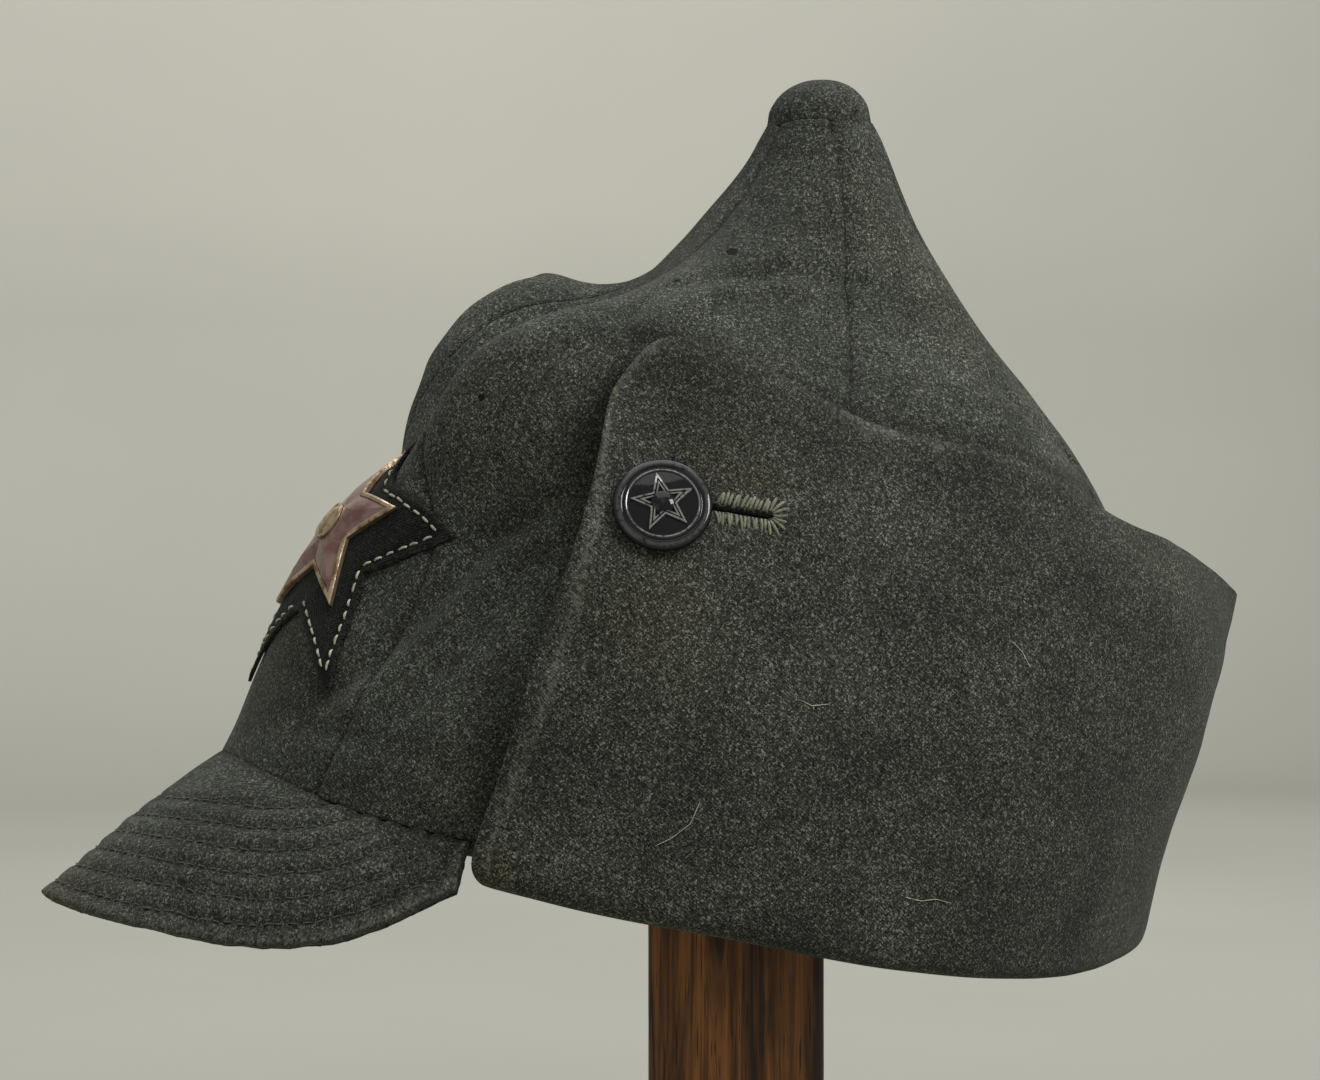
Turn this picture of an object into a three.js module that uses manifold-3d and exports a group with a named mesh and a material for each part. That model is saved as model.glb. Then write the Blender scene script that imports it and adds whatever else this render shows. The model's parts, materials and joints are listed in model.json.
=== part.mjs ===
// A pointed wool cap with a quilted peak, a turned-up neck flap and a star badge,
// resting on a plain wooden stand. Millimetres, +Z up. The origin is the middle of
// the stand's foot, the front of the cap faces -Y and the wearer's left is +X.
import * as THREE from 'three';
import Module from 'manifold-3d';
import { mergeVertices } from 'three/addons/utils/BufferGeometryUtils.js';

const wasm = await Module();
wasm.setup();

// Sizes of the cap
const CROWN_LENGTH = 220;
const CROWN_WIDTH = 170;
const CROWN_HEIGHT = 212;
const CLOTH = 2.4;
const FLAP_CLOTH = 3.2;
const PEAK_THICKNESS = 4.2;
const PEAK_SIDE_DROP = 6;
const PEAK_CROWNING = 3;
const PEAK_CROWNING_IN_FRONT = 0.35;
const KNOB_HEIGHT = 10.5;
const KNOB_OVERHANG = 0.1;

// Sizes of the star, the badge and the buttons
const STAR_RADIUS = 43;
const STAR_CLOTH = 1;
const BADGE_RADIUS = 23.5;
const BADGE_PLATE = 0.7;
const BADGE_RIM_HEIGHT = 1.8;
const ENAMEL_THICKNESS = 1;
const BOSS_RADIUS = 4.6;
const BOSS_HEIGHT = 1.6;
const BUTTON_RADIUS = 11;
const BUTTON_RISE = 3.6;
const SHANK_RADIUS = 1.3;
const BUTTONHOLE_LENGTH = 26;
const BUTTONHOLE_WIDTH = 3.4;

// Sizes of the stand
const STAND_RISE = 87;
const POST_WIDTH = 41.5;
const POST_EDGE = 3;
const POST_TURN = THREE.MathUtils.degToRad(-14);
const HEAD_RADIUS = 50;
const HEAD_EDGE_HEIGHT = 12;
const HEAD_DOME_HEIGHT = 16;
const FOOT_RADIUS = 78;
const FOOT_HEIGHT = 18;
const FOOT_EDGE = 3;
const FOOT_EDGE_MIDDLE = (1 - Math.SQRT1_2) * FOOT_EDGE;

// Clearances
const SEAM_GAP = 0.3;
const SEWN_EDGE_GAP = 0.4;
const LAID_GAP = 1.1;
const STACK_GAP = 0.5;
const HEAD_CLEARANCE = 0.8;
const SEAT_GAP = 0.3;
const SHANK_CLEARANCE = 0.6;

// How finely the soft pieces are divided
const COLUMNS = 48;
const CROWN_ROWS = 20;
const FLAP_STEPS_BETWEEN_STATIONS = 3;
const FLAP_LEAF_ROWS = 8;
const FLAP_FOLD_STEPS = 5;
const PEAK_ROWS = 5;
const PEAK_COLUMNS = 28;
const STAR_STEPS_PER_SIDE = 4;
const BOSS_SIDES = 16;
const KNOB_SIDES = 20;
const BUTTON_SIDES = 18;
const HEAD_SIDES = 32;
const FOOT_SIDES = 36;
const SEATING_RAYS = 32;

// The crown's wedges, anticlockwise from above
const GORES = ['front', 'left_front', 'left_back', 'back', 'right_back', 'right_front'];

// The lowest fold of the cap is this high above the ground
const BRIM_HEIGHT = FOOT_HEIGHT + STAND_RISE;

// Level sections of the crown's outer face, from its sewn edge up to the knob.
// A place is [x, y, z] as shares of the crown's width, length and height, and
// a place on the middle plane is [y, z]. Side and quarter are mirrored.
const CROWN_SECTIONS = [
  {
    front: [-0.564, 0.241], leftHump: [0.347, -0.423, 0.177], rightHump: [0.347, -0.423, 0.177],
    side: [0.494, -0.045, 0.108], quarter: [0.353, 0.282, 0.071], back: [0.409, 0.061],
  },
  {
    front: [-0.548, 0.274], leftHump: [0.353, -0.405, 0.226], rightHump: [0.353, -0.405, 0.226],
    side: [0.503, -0.041, 0.175], quarter: [0.371, 0.295, 0.142], back: [0.427, 0.132],
  },
  {
    front: [-0.52, 0.349], leftHump: [0.347, -0.359, 0.316], rightHump: [0.347, -0.359, 0.316],
    side: [0.5, -0.023, 0.269], quarter: [0.382, 0.309, 0.245], back: [0.445, 0.241],
  },
  {
    front: [-0.489, 0.415], leftHump: [0.329, -0.3, 0.401], rightHump: [0.329, -0.305, 0.401],
    side: [0.482, 0, 0.363], quarter: [0.376, 0.314, 0.354], back: [0.448, 0.354],
  },
  {
    front: [-0.445, 0.498], leftHump: [0.288, -0.282, 0.486], rightHump: [0.294, -0.291, 0.486],
    side: [0.447, 0.018, 0.458], quarter: [0.347, 0.305, 0.462], back: [0.43, 0.472],
  },
  {
    front: [-0.382, 0.557], leftHump: [0.235, -0.345, 0.575], rightHump: [0.247, -0.336, 0.585],
    side: [0.394, 0.036, 0.542], quarter: [0.294, 0.286, 0.552], back: [0.391, 0.547],
  },
  {
    front: [-0.3, 0.599], leftHump: [0.206, -0.334, 0.665], rightHump: [0.218, -0.309, 0.703],
    side: [0.329, 0.055, 0.627], quarter: [0.253, 0.259, 0.627], back: [0.336, 0.618],
  },
  {
    front: [-0.205, 0.651], leftHump: [0.194, -0.255, 0.717], rightHump: [0.206, -0.205, 0.785],
    side: [0.265, 0.073, 0.689], quarter: [0.2, 0.232, 0.693], back: [0.286, 0.684],
  },
  {
    front: [-0.127, 0.726], leftHump: [0.147, -0.141, 0.736], rightHump: [0.159, -0.105, 0.764],
    side: [0.206, 0.082, 0.745], quarter: [0.159, 0.209, 0.75], back: [0.236, 0.759],
  },
  {
    front: [-0.057, 0.814], leftHump: [0.106, -0.018, 0.814], rightHump: [0.106, -0.018, 0.814],
    side: [0.153, 0.091, 0.811], quarter: [0.112, 0.168, 0.821], back: [0.2, 0.833],
  },
  {
    front: [0.016, 0.901], leftHump: [0.059, 0.039, 0.901], rightHump: [0.059, 0.039, 0.901],
    side: [0.094, 0.098, 0.901], quarter: [0.071, 0.15, 0.903], back: [0.175, 0.906],
  },
  {
    front: [0.041, 0.943], leftHump: [0.051, 0.059, 0.945], rightHump: [0.051, 0.059, 0.945],
    side: [0.073, 0.098, 0.946], quarter: [0.051, 0.138, 0.947], back: [0.155, 0.948],
  },
];

// Ridges and creases pressed into the crown, as shares of the same three sizes,
// with their width and their depth as shares of the crown's length
const FOLDS = [
  { from: [0.235, -0.476, 0.313], to: [0.353, -0.382, 0.41], width: 0.032, depth: -0.0082 },
  { from: [0.353, -0.382, 0.41], to: [0.388, -0.262, 0.513], width: 0.032, depth: -0.0073 },
  { from: [0.265, -0.459, 0.325], to: [0.376, -0.355, 0.448], width: 0.027, depth: 0.0055 },
  { from: [0.176, -0.14, 0.733], to: [0.153, -0.045, 0.764], width: 0.036, depth: 0.0082 },
  { from: [0.153, -0.045, 0.764], to: [0.106, 0.119, 0.764], width: 0.036, depth: 0.0068 },
  { from: [0.265, -0.103, 0.692], to: [0.147, -0.003, 0.765], width: 0.027, depth: 0.0055 },
  { from: [0, -0.282, 0.608], to: [0, -0.136, 0.717], width: 0.032, depth: -0.0114 },
];

// Upright stations of the turned-up flap's outer face, from its front edge to the
// middle of the back. Turn is the place along the crown's sewn edge, 0 at the front
// and 0.5 at the back, and the fold's z is the lowest of the flap there.
const FLAP_STATIONS = [
  {
    turn: 0.166, fold: [0.444, -0.364, 0.113], low: [0.456, -0.339, 0.226],
    middle: [0.456, -0.293, 0.368], high: [0.415, -0.234, 0.524], top: [0.353, -0.207, 0.627],
  },
  {
    turn: 0.195, fold: [0.506, -0.268, 0.087], low: [0.512, -0.241, 0.212],
    middle: [0.497, -0.209, 0.358], high: [0.432, -0.177, 0.505], top: [0.329, -0.145, 0.69],
  },
  {
    turn: 0.235, fold: [0.541, -0.123, 0.059], low: [0.55, -0.1, 0.189],
    middle: [0.535, -0.082, 0.33], high: [0.476, -0.068, 0.486], top: [0.353, -0.059, 0.667],
  },
  {
    turn: 0.285, fold: [0.538, 0.055, 0.024], low: [0.553, 0.055, 0.156],
    middle: [0.544, 0.055, 0.307], high: [0.494, 0.055, 0.462], top: [0.394, 0.057, 0.598],
  },
  {
    turn: 0.335, fold: [0.494, 0.191, 0.005], low: [0.518, 0.191, 0.142],
    middle: [0.524, 0.195, 0.292], high: [0.485, 0.202, 0.443], top: [0.394, 0.22, 0.561],
  },
  {
    turn: 0.385, fold: [0.394, 0.309, 0], low: [0.421, 0.32, 0.132],
    middle: [0.438, 0.339, 0.274], high: [0.421, 0.35, 0.41], top: [0.347, 0.336, 0.5],
  },
  {
    turn: 0.44, fold: [0.224, 0.414, 0.005], low: [0.241, 0.434, 0.132],
    middle: [0.268, 0.468, 0.259], high: [0.268, 0.482, 0.377], top: [0.226, 0.459, 0.462],
  },
  {
    turn: 0.5, fold: [0, 0.459, 0.009], low: [0, 0.48, 0.132],
    middle: [0, 0.525, 0.25], high: [0, 0.564, 0.344], top: [0, 0.589, 0.399],
  },
];

// The peak's outer edge, from its middle to the temple
const PEAK_END_TURN = 0.152;
const PEAK_STATIONS = [
  { around: 0, edge: [0, -0.755, 0.09] },
  { around: 0.2, edge: [0.118, -0.718, 0.078] },
  { around: 0.4, edge: [0.224, -0.657, 0.066] },
  { around: 0.6, edge: [0.318, -0.577, 0.054] },
  { around: 0.8, edge: [0.394, -0.482, 0.064] },
  { around: 1, edge: [0.435, -0.377, 0.116] },
];

// Places of the star and the buttons, as shares of the crown's sizes
const STAR_MIDDLE = [0.07, -0.458, 0.482];
const STAR_TILT = THREE.MathUtils.degToRad(5);
const STAR_LEAN = THREE.MathUtils.degToRad(59);
const BUTTON_PLACE = [0.42, -0.166, 0.504];
const BUTTONHOLE_SLOPE = THREE.MathUtils.degToRad(16);

// Colours, roughness and metalness
const wool = new THREE.MeshStandardMaterial({ color: 0x35372f, roughness: 0.95, metalness: 0 });
const peakWool = new THREE.MeshStandardMaterial({ color: 0x34362f, roughness: 0.95, metalness: 0 });
const flapWool = new THREE.MeshStandardMaterial({ color: 0x373932, roughness: 0.95, metalness: 0 });
const darkCloth = new THREE.MeshStandardMaterial({ color: 0x1a1b1c, roughness: 0.95, metalness: 0 });
const paleMetal = new THREE.MeshStandardMaterial({ color: 0xb9a58e, roughness: 0.35, metalness: 1 });
const redEnamel = new THREE.MeshStandardMaterial({ color: 0x9c4b44, roughness: 0.2, metalness: 0 });
const blackLacquer = new THREE.MeshStandardMaterial({ color: 0x0b0b0c, roughness: 0.15, metalness: 0 });
const walnut = new THREE.MeshStandardMaterial({ color: 0x4a3018, roughness: 0.55, metalness: 0 });

const cap = new THREE.Group();

function addPiece(name, geometry, material, parent = cap) {
  const mesh = new THREE.Mesh(geometry, material.clone());
  mesh.name = name;
  parent.add(mesh);
  return mesh;
}

// A place in millimetres from shares of the crown's sizes
function place([x, y, z]) {
  return new THREE.Vector3(x * CROWN_WIDTH, y * CROWN_LENGTH, BRIM_HEIGHT + z * CROWN_HEIGHT);
}

function mirrored(point) {
  return new THREE.Vector3(-point.x, point.y, point.z);
}

// A list of triangles that is filled quad by quad
class Faces {
  constructor() {
    this.points = [];
    this.indices = [];
  }

  addPoint(point) {
    this.points.push(point.x, point.y, point.z);
    return this.points.length / 3 - 1;
  }

  addTriangle(a, b, c) {
    this.indices.push(a, b, c);
  }

  addQuad(a, b, c, d) {
    this.addTriangle(a, b, c);
    this.addTriangle(a, c, d);
  }

  geometry() {
    const geometry = new THREE.BufferGeometry();
    geometry.setAttribute('position', new THREE.Float32BufferAttribute(this.points, 3));
    geometry.setIndex(this.indices);
    geometry.computeVertexNormals();
    return geometry;
  }
}

// Normals of a grid of points, outwards where columns run anticlockwise and rows up
function gridNormals(grid, closed = false) {
  const rowCount = grid.length;
  const columnCount = grid[0].length;
  return grid.map((row, r) => row.map((point, c) => {
    const before = closed ? (c + columnCount - 1) % columnCount : Math.max(c - 1, 0);
    const after = closed ? (c + 1) % columnCount : Math.min(c + 1, columnCount - 1);
    const across = row[after].clone().sub(row[before]);
    const above = grid[Math.min(r + 1, rowCount - 1)][c];
    const below = grid[Math.max(r - 1, 0)][c];
    return across.cross(above.clone().sub(below)).normalize();
  }));
}

// The second face of a wall, moved from the first against its normals
function offsetGrid(grid, normals, distance) {
  return grid.map((row, r) => row.map((point, c) => (
    point.clone().addScaledVector(normals[r][c], -distance)
  )));
}

// A closed wall between two open grids of points
function wallBetween(outer, inner) {
  const faces = new Faces();
  const outerIds = outer.map((row) => row.map((point) => faces.addPoint(point)));
  const innerIds = inner.map((row) => row.map((point) => faces.addPoint(point)));
  const lastRow = outer.length - 1;
  const lastColumn = outer[0].length - 1;
  for (let r = 0; r < lastRow; r += 1) {
    for (let c = 0; c < lastColumn; c += 1) {
      faces.addQuad(outerIds[r][c], outerIds[r][c + 1], outerIds[r + 1][c + 1], outerIds[r + 1][c]);
      faces.addQuad(innerIds[r][c], innerIds[r + 1][c], innerIds[r + 1][c + 1], innerIds[r][c + 1]);
    }
    faces.addQuad(outerIds[r][0], outerIds[r + 1][0], innerIds[r + 1][0], innerIds[r][0]);
    faces.addQuad(
      outerIds[r][lastColumn],
      innerIds[r][lastColumn],
      innerIds[r + 1][lastColumn],
      outerIds[r + 1][lastColumn],
    );
  }
  for (let c = 0; c < lastColumn; c += 1) {
    faces.addQuad(outerIds[0][c], innerIds[0][c], innerIds[0][c + 1], outerIds[0][c + 1]);
    faces.addQuad(
      outerIds[lastRow][c],
      outerIds[lastRow][c + 1],
      innerIds[lastRow][c + 1],
      innerIds[lastRow][c],
    );
  }
  return faces.geometry();
}

// One face of a grid closed on itself, to lay other pieces on
function layingSkin(grid) {
  const faces = new Faces();
  const ids = grid.map((row) => row.map((point) => faces.addPoint(point)));
  const columnCount = grid[0].length;
  for (let r = 0; r < grid.length - 1; r += 1) {
    for (let c = 0; c < columnCount; c += 1) {
      const next = (c + 1) % columnCount;
      faces.addQuad(ids[r][c], ids[r][next], ids[r + 1][next], ids[r + 1][c]);
    }
  }
  return new THREE.Mesh(faces.geometry(), new THREE.MeshBasicMaterial({ side: THREE.DoubleSide }));
}

function firstHit(mesh, origin, direction) {
  mesh.updateMatrixWorld(true);
  const ray = new THREE.Raycaster(origin, direction.clone().normalize());
  return ray.intersectObject(mesh)[0];
}

// A solid for cutting, made from a closed geometry
function solidFrom(geometry) {
  const bare = geometry.clone();
  bare.deleteAttribute('normal');
  bare.deleteAttribute('uv');
  const merged = mergeVertices(bare);
  const mesh = new wasm.Mesh({
    numProp: 3,
    vertProperties: new Float32Array(merged.attributes.position.array),
    triVerts: new Uint32Array(merged.index.array),
  });
  return new wasm.Manifold(mesh);
}

function geometryFrom(solid) {
  const mesh = solid.getMesh();
  const geometry = new THREE.BufferGeometry();
  geometry.setAttribute('position', new THREE.BufferAttribute(mesh.vertProperties, 3));
  geometry.setIndex(new THREE.BufferAttribute(mesh.triVerts, 1));
  geometry.computeVertexNormals();
  return geometry;
}

// The crown's outer face: turn runs round it from the front by way of the wearer's
// left, and rise runs from 0 at the sewn edge to 1 at the knob
const sectionCurves = CROWN_SECTIONS.map((section) => {
  const points = [
    place([0, ...section.front]),
    place(section.leftHump),
    place(section.side),
    place(section.quarter),
    place([0, ...section.back]),
    mirrored(place(section.quarter)),
    mirrored(place(section.side)),
    mirrored(place(section.rightHump)),
  ];
  return new THREE.CatmullRomCurve3(points, true, 'centripetal');
});

const columnCurves = new Map();

function columnCurve(turn) {
  const key = THREE.MathUtils.euclideanModulo(turn, 1).toFixed(6);
  if (!columnCurves.has(key)) {
    const points = sectionCurves.map((curve) => curve.getPoint(Number(key)));
    columnCurves.set(key, new THREE.CatmullRomCurve3(points, false, 'centripetal'));
  }
  return columnCurves.get(key);
}

function foldHeight(point) {
  const nearest = new THREE.Vector3();
  return FOLDS.reduce((height, fold) => {
    const crease = new THREE.Line3(place(fold.from), place(fold.to));
    crease.closestPointToPoint(point, true, nearest);
    const distance = nearest.distanceTo(point) / (fold.width * CROWN_LENGTH);
    return height + fold.depth * CROWN_LENGTH * Math.exp(-distance * distance);
  }, 0);
}

const TURN_STEP = 0.004;
const RISE_STEP = 0.01;

function crownNormal(turn, rise) {
  const across = columnCurve(turn + TURN_STEP).getPoint(rise);
  across.sub(columnCurve(turn - TURN_STEP).getPoint(rise));
  const up = columnCurve(turn).getPoint(Math.min(rise + RISE_STEP, 1));
  up.sub(columnCurve(turn).getPoint(Math.max(rise - RISE_STEP, 0)));
  return across.cross(up).normalize();
}

function crownPoint(turn, rise) {
  const point = columnCurve(turn).getPoint(rise);
  return point.addScaledVector(crownNormal(turn, rise), foldHeight(point));
}

// The turn that lies a distance along the section from another turn
function turnBeside(turn, rise, distance) {
  const step = columnCurve(turn + TURN_STEP).getPoint(rise);
  const length = step.distanceTo(columnCurve(turn - TURN_STEP).getPoint(rise));
  return turn + (distance * 2 * TURN_STEP) / length;
}

function crownGrid(firstTurn, lastTurn, columnCount, gap) {
  const grid = [];
  const normals = [];
  for (let r = 0; r <= CROWN_ROWS; r += 1) {
    const rise = r / CROWN_ROWS;
    const turns = [];
    for (let c = 0; c <= columnCount; c += 1) {
      turns.push(THREE.MathUtils.lerp(firstTurn, lastTurn, c / columnCount));
    }
    turns[0] = turnBeside(firstTurn, rise, gap);
    turns[columnCount] = turnBeside(lastTurn, rise, -gap);
    grid.push(turns.map((turn) => crownPoint(turn, rise)));
    normals.push(turns.map((turn) => crownNormal(turn, rise)));
  }
  return { grid, normals };
}

function makeGores() {
  const columnsPerGore = COLUMNS / GORES.length;
  GORES.forEach((side, index) => {
    const middle = index / GORES.length;
    const half = 0.5 / GORES.length;
    const { grid, normals } = crownGrid(middle - half, middle + half, columnsPerGore, SEAM_GAP / 2);
    addPiece(`gore_${side}`, wallBetween(grid, offsetGrid(grid, normals, CLOTH)), wool);
  });
}

// Whole skins of the crown, without their seams
const wholeCrown = crownGrid(0, 1, COLUMNS, 0);
wholeCrown.grid.forEach((row) => row.pop());
wholeCrown.normals.forEach((row) => row.pop());
const crownSkin = layingSkin(wholeCrown.grid);
const liningGrid = offsetGrid(wholeCrown.grid, wholeCrown.normals, CLOTH);
const crownLiningSkin = layingSkin(liningGrid);

// The cloth-covered disc that closes the point
const topRing = wholeCrown.grid[CROWN_ROWS];
const knobMiddle = topRing
  .reduce((sum, point) => sum.add(point), new THREE.Vector3())
  .divideScalar(topRing.length);
const knobRadius = Math.max(...topRing.map((point) => (
  Math.hypot(point.x - knobMiddle.x, point.y - knobMiddle.y)
))) + KNOB_OVERHANG;

// The knob's upright section as shares of its radius and its height
const KNOB_PROFILE = [
  { reach: 0, rise: 0 },
  { reach: 1, rise: 0 },
  { reach: 1, rise: 0.1 },
  { reach: 0.95, rise: 0.35 },
  { reach: 0.82, rise: 0.62 },
  { reach: 0.62, rise: 0.83 },
  { reach: 0.33, rise: 0.97 },
  { reach: 0, rise: 1 },
];

function makeKnob() {
  const profile = KNOB_PROFILE.map(({ reach, rise }) => (
    new THREE.Vector2(reach * knobRadius, rise * KNOB_HEIGHT)
  ));
  const knob = addPiece('tip_knob', new THREE.LatheGeometry(profile, KNOB_SIDES), wool);
  const highest = Math.max(...topRing.map((point) => point.z));
  knob.rotation.x = Math.PI / 2;
  knob.position.set(knobMiddle.x, knobMiddle.y, highest + SEAT_GAP);
}

// The peak hangs from the crown's front edge, from temple to temple
function peakEdgeCurve() {
  const half = PEAK_STATIONS.map(({ edge }) => place(edge));
  const right = half.slice(1).map(mirrored).reverse();
  return new THREE.CatmullRomCurve3([...right, ...half], false, 'centripetal');
}

function makePeak() {
  const edge = peakEdgeCurve();
  const top = Array.from({ length: PEAK_ROWS + 1 }, () => []);
  const sewnNormals = [];
  for (let c = 0; c <= PEAK_COLUMNS; c += 1) {
    const share = c / PEAK_COLUMNS;
    const around = 2 * share - 1;
    const turn = around * PEAK_END_TURN;
    const sewn = crownPoint(turn, 0);
    const down = sewn.clone().sub(crownPoint(turn, RISE_STEP)).normalize();
    const start = sewn.addScaledVector(down, SEWN_EDGE_GAP);
    const end = edge.getPoint(share);
    end.z -= PEAK_SIDE_DROP * Math.max(0, -Math.sin(around * Math.PI)) ** 3;
    for (let r = 0; r <= PEAK_ROWS; r += 1) {
      const out = r / PEAK_ROWS;
      const point = start.clone().lerp(end, out);
      const sideways = Math.sin(Math.abs(around) * Math.PI);
      const crowning = PEAK_CROWNING * (PEAK_CROWNING_IN_FRONT + sideways);
      point.z += crowning * Math.sin(out * Math.PI);
      top[r].push(point);
    }
    sewnNormals.push(crownNormal(turn, 0));
  }
  top.reverse();
  const normals = gridNormals(top);
  normals[PEAK_ROWS] = sewnNormals;
  addPiece('peak', wallBetween(top, offsetGrid(top, normals, PEAK_THICKNESS)), peakWool);
}

// The flap goes down from the crown's edge, folds up and covers the crown's sides
function flapStationCurve(column) {
  const left = FLAP_STATIONS.map((station) => place(station[column]));
  const right = left.slice(0, -1).map(mirrored).reverse();
  return new THREE.CatmullRomCurve3([...left, ...right], false, 'centripetal');
}

const flapCurves = {
  fold: flapStationCurve('fold'),
  low: flapStationCurve('low'),
  middle: flapStationCurve('middle'),
  high: flapStationCurve('high'),
  top: flapStationCurve('top'),
};
const flapTurns = [
  ...FLAP_STATIONS.map(({ turn }) => turn),
  ...FLAP_STATIONS.slice(0, -1).map(({ turn }) => 1 - turn).reverse(),
];

function flapTurnAt(share) {
  const at = share * (flapTurns.length - 1);
  const index = Math.min(Math.floor(at), flapTurns.length - 2);
  return THREE.MathUtils.lerp(flapTurns[index], flapTurns[index + 1], at - index);
}

// One upright line of the flap's outer face, from the sewn edge to the free edge
function flapLine(share) {
  const turn = flapTurnAt(share);
  const thicker = (FLAP_CLOTH - CLOTH) / 2;
  const crownEdge = crownPoint(turn, 0);
  const sewn = crownEdge.clone().addScaledVector(crownNormal(turn, 0), -CLOTH - thicker);
  sewn.z = Math.min(sewn.z, crownEdge.z) - SEWN_EDGE_GAP;
  const fold = flapCurves.fold.getPoint(share);
  const across = new THREE.Vector3(fold.x - sewn.x, fold.y - sewn.y, 0);
  const radius = across.length() / 2;
  across.normalize();
  const middle = new THREE.Vector3(sewn.x, sewn.y, fold.z + radius);
  middle.addScaledVector(across, radius);
  const line = [sewn];
  for (let step = 0; step < FLAP_FOLD_STEPS; step += 1) {
    const angle = Math.PI * (1 + step / FLAP_FOLD_STEPS);
    const point = middle.clone().addScaledVector(across, radius * Math.cos(angle));
    point.z += radius * Math.sin(angle);
    line.push(point);
  }
  const leaf = new THREE.CatmullRomCurve3([
    middle.clone().addScaledVector(across, radius),
    flapCurves.low.getPoint(share),
    flapCurves.middle.getPoint(share),
    flapCurves.high.getPoint(share),
    flapCurves.top.getPoint(share),
  ], false, 'centripetal');
  for (let r = 0; r <= FLAP_LEAF_ROWS; r += 1) {
    line.push(leaf.getPoint(r / FLAP_LEAF_ROWS));
  }
  return line;
}

function flapGrid() {
  const columnCount = (flapTurns.length - 1) * FLAP_STEPS_BETWEEN_STATIONS;
  const lines = [];
  for (let c = 0; c <= columnCount; c += 1) {
    lines.push(flapLine(c / columnCount));
  }
  return lines[0].map((point, r) => lines.map((line) => line[r]));
}

const flapOuter = flapGrid();
const wholeFlap = wallBetween(flapOuter, offsetGrid(flapOuter, gridNormals(flapOuter), FLAP_CLOTH));
const flapSkin = new THREE.Mesh(wholeFlap, new THREE.MeshBasicMaterial());

// Shares of the button's radius where its underside is kept clear of the flap
const SEATING_REACHES = [0.35, 0.7, 1];

// Where a button sits: a point over the flap, the flap's normal there, the line of its
// buttonhole and the way down to the crown. Side is 1 on the wearer's left.
function buttonSeat(side) {
  const inward = new THREE.Vector3(-side, 0, 0);
  const onFlap = (along, up) => {
    const outside = place(BUTTON_PLACE).add(new THREE.Vector3(0, along, up));
    outside.x = side * CROWN_WIDTH;
    return firstHit(flapSkin, outside, inward).point;
  };
  const middle = onFlap(0, 0);
  const along = onFlap(BUTTON_RADIUS, 0).sub(onFlap(-BUTTON_RADIUS, 0));
  const up = onFlap(0, BUTTON_RADIUS).sub(onFlap(0, -BUTTON_RADIUS));
  const normal = along.cross(up).multiplyScalar(side).normalize();
  const back = new THREE.Vector3(0, Math.cos(BUTTONHOLE_SLOPE), -Math.sin(BUTTONHOLE_SLOPE));
  back.addScaledVector(normal, -back.dot(normal)).normalize();

  let proud = 0;
  for (let step = 0; step < SEATING_RAYS; step += 1) {
    const angle = (2 * Math.PI * step) / SEATING_RAYS;
    SEATING_REACHES.forEach((reach) => {
      const radius = reach * BUTTON_RADIUS;
      const near = onFlap(radius * Math.cos(angle), radius * Math.sin(angle));
      proud = Math.max(proud, near.sub(middle).dot(normal));
    });
  }
  const point = middle.addScaledVector(normal, proud);
  const toCrown = firstHit(crownSkin, point, normal.clone().negate());
  return { point, normal, back, depth: toCrown.distance };
}

const seats = { left: buttonSeat(1), right: buttonSeat(-1) };

function buttonholeSolid({ point, normal, back, depth }) {
  const radius = BUTTONHOLE_WIDTH / 2;
  const straight = BUTTONHOLE_LENGTH - BUTTONHOLE_WIDTH;
  const outline = new THREE.Shape();
  outline.absarc(0, 0, radius, Math.PI / 2, (3 * Math.PI) / 2, false);
  outline.absarc(straight, 0, radius, -Math.PI / 2, Math.PI / 2, false);
  const reach = depth + SEAT_GAP;
  const slot = new THREE.ExtrudeGeometry(outline, {
    depth: 2 * reach,
    bevelEnabled: false,
    curveSegments: 5,
  });
  slot.translate(0, 0, -reach);
  const beside = normal.clone().cross(back);
  const turned = new THREE.Matrix4().makeBasis(back, beside, normal).setPosition(point);
  return solidFrom(slot.applyMatrix4(turned));
}

function makeFlap() {
  const cut = solidFrom(wholeFlap)
    .subtract(buttonholeSolid(seats.left))
    .subtract(buttonholeSolid(seats.right));
  addPiece('neck_flap', geometryFrom(cut), flapWool);
}

// The button's upright section over its shank, as shares of its radius and rise
const BUTTON_PROFILE = [
  { reach: 0.86, rise: 0 },
  { reach: 0.97, rise: 0.12 },
  { reach: 1, rise: 0.3 },
  { reach: 0.97, rise: 0.52 },
  { reach: 0.9, rise: 0.6 },
  { reach: 0.84, rise: 0.5 },
  { reach: 0.8, rise: 0.6 },
  { reach: 0.74, rise: 0.62 },
  { reach: 0.5, rise: 0.84 },
  { reach: 0.25, rise: 0.96 },
  { reach: 0, rise: 1 },
];

function makeButton(name, { point, normal, depth }) {
  const shankEnd = SHANK_CLEARANCE - depth;
  const profile = [
    new THREE.Vector2(0, shankEnd),
    new THREE.Vector2(SHANK_RADIUS, shankEnd),
    new THREE.Vector2(SHANK_RADIUS, SEAT_GAP),
    ...BUTTON_PROFILE.map(({ reach, rise }) => (
      new THREE.Vector2(reach * BUTTON_RADIUS, SEAT_GAP + rise * BUTTON_RISE)
    )),
  ];
  const button = addPiece(name, new THREE.LatheGeometry(profile, BUTTON_SIDES), blackLacquer);
  button.position.copy(point);
  button.quaternion.setFromUnitVectors(new THREE.Vector3(0, 1, 0), normal);
}

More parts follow.
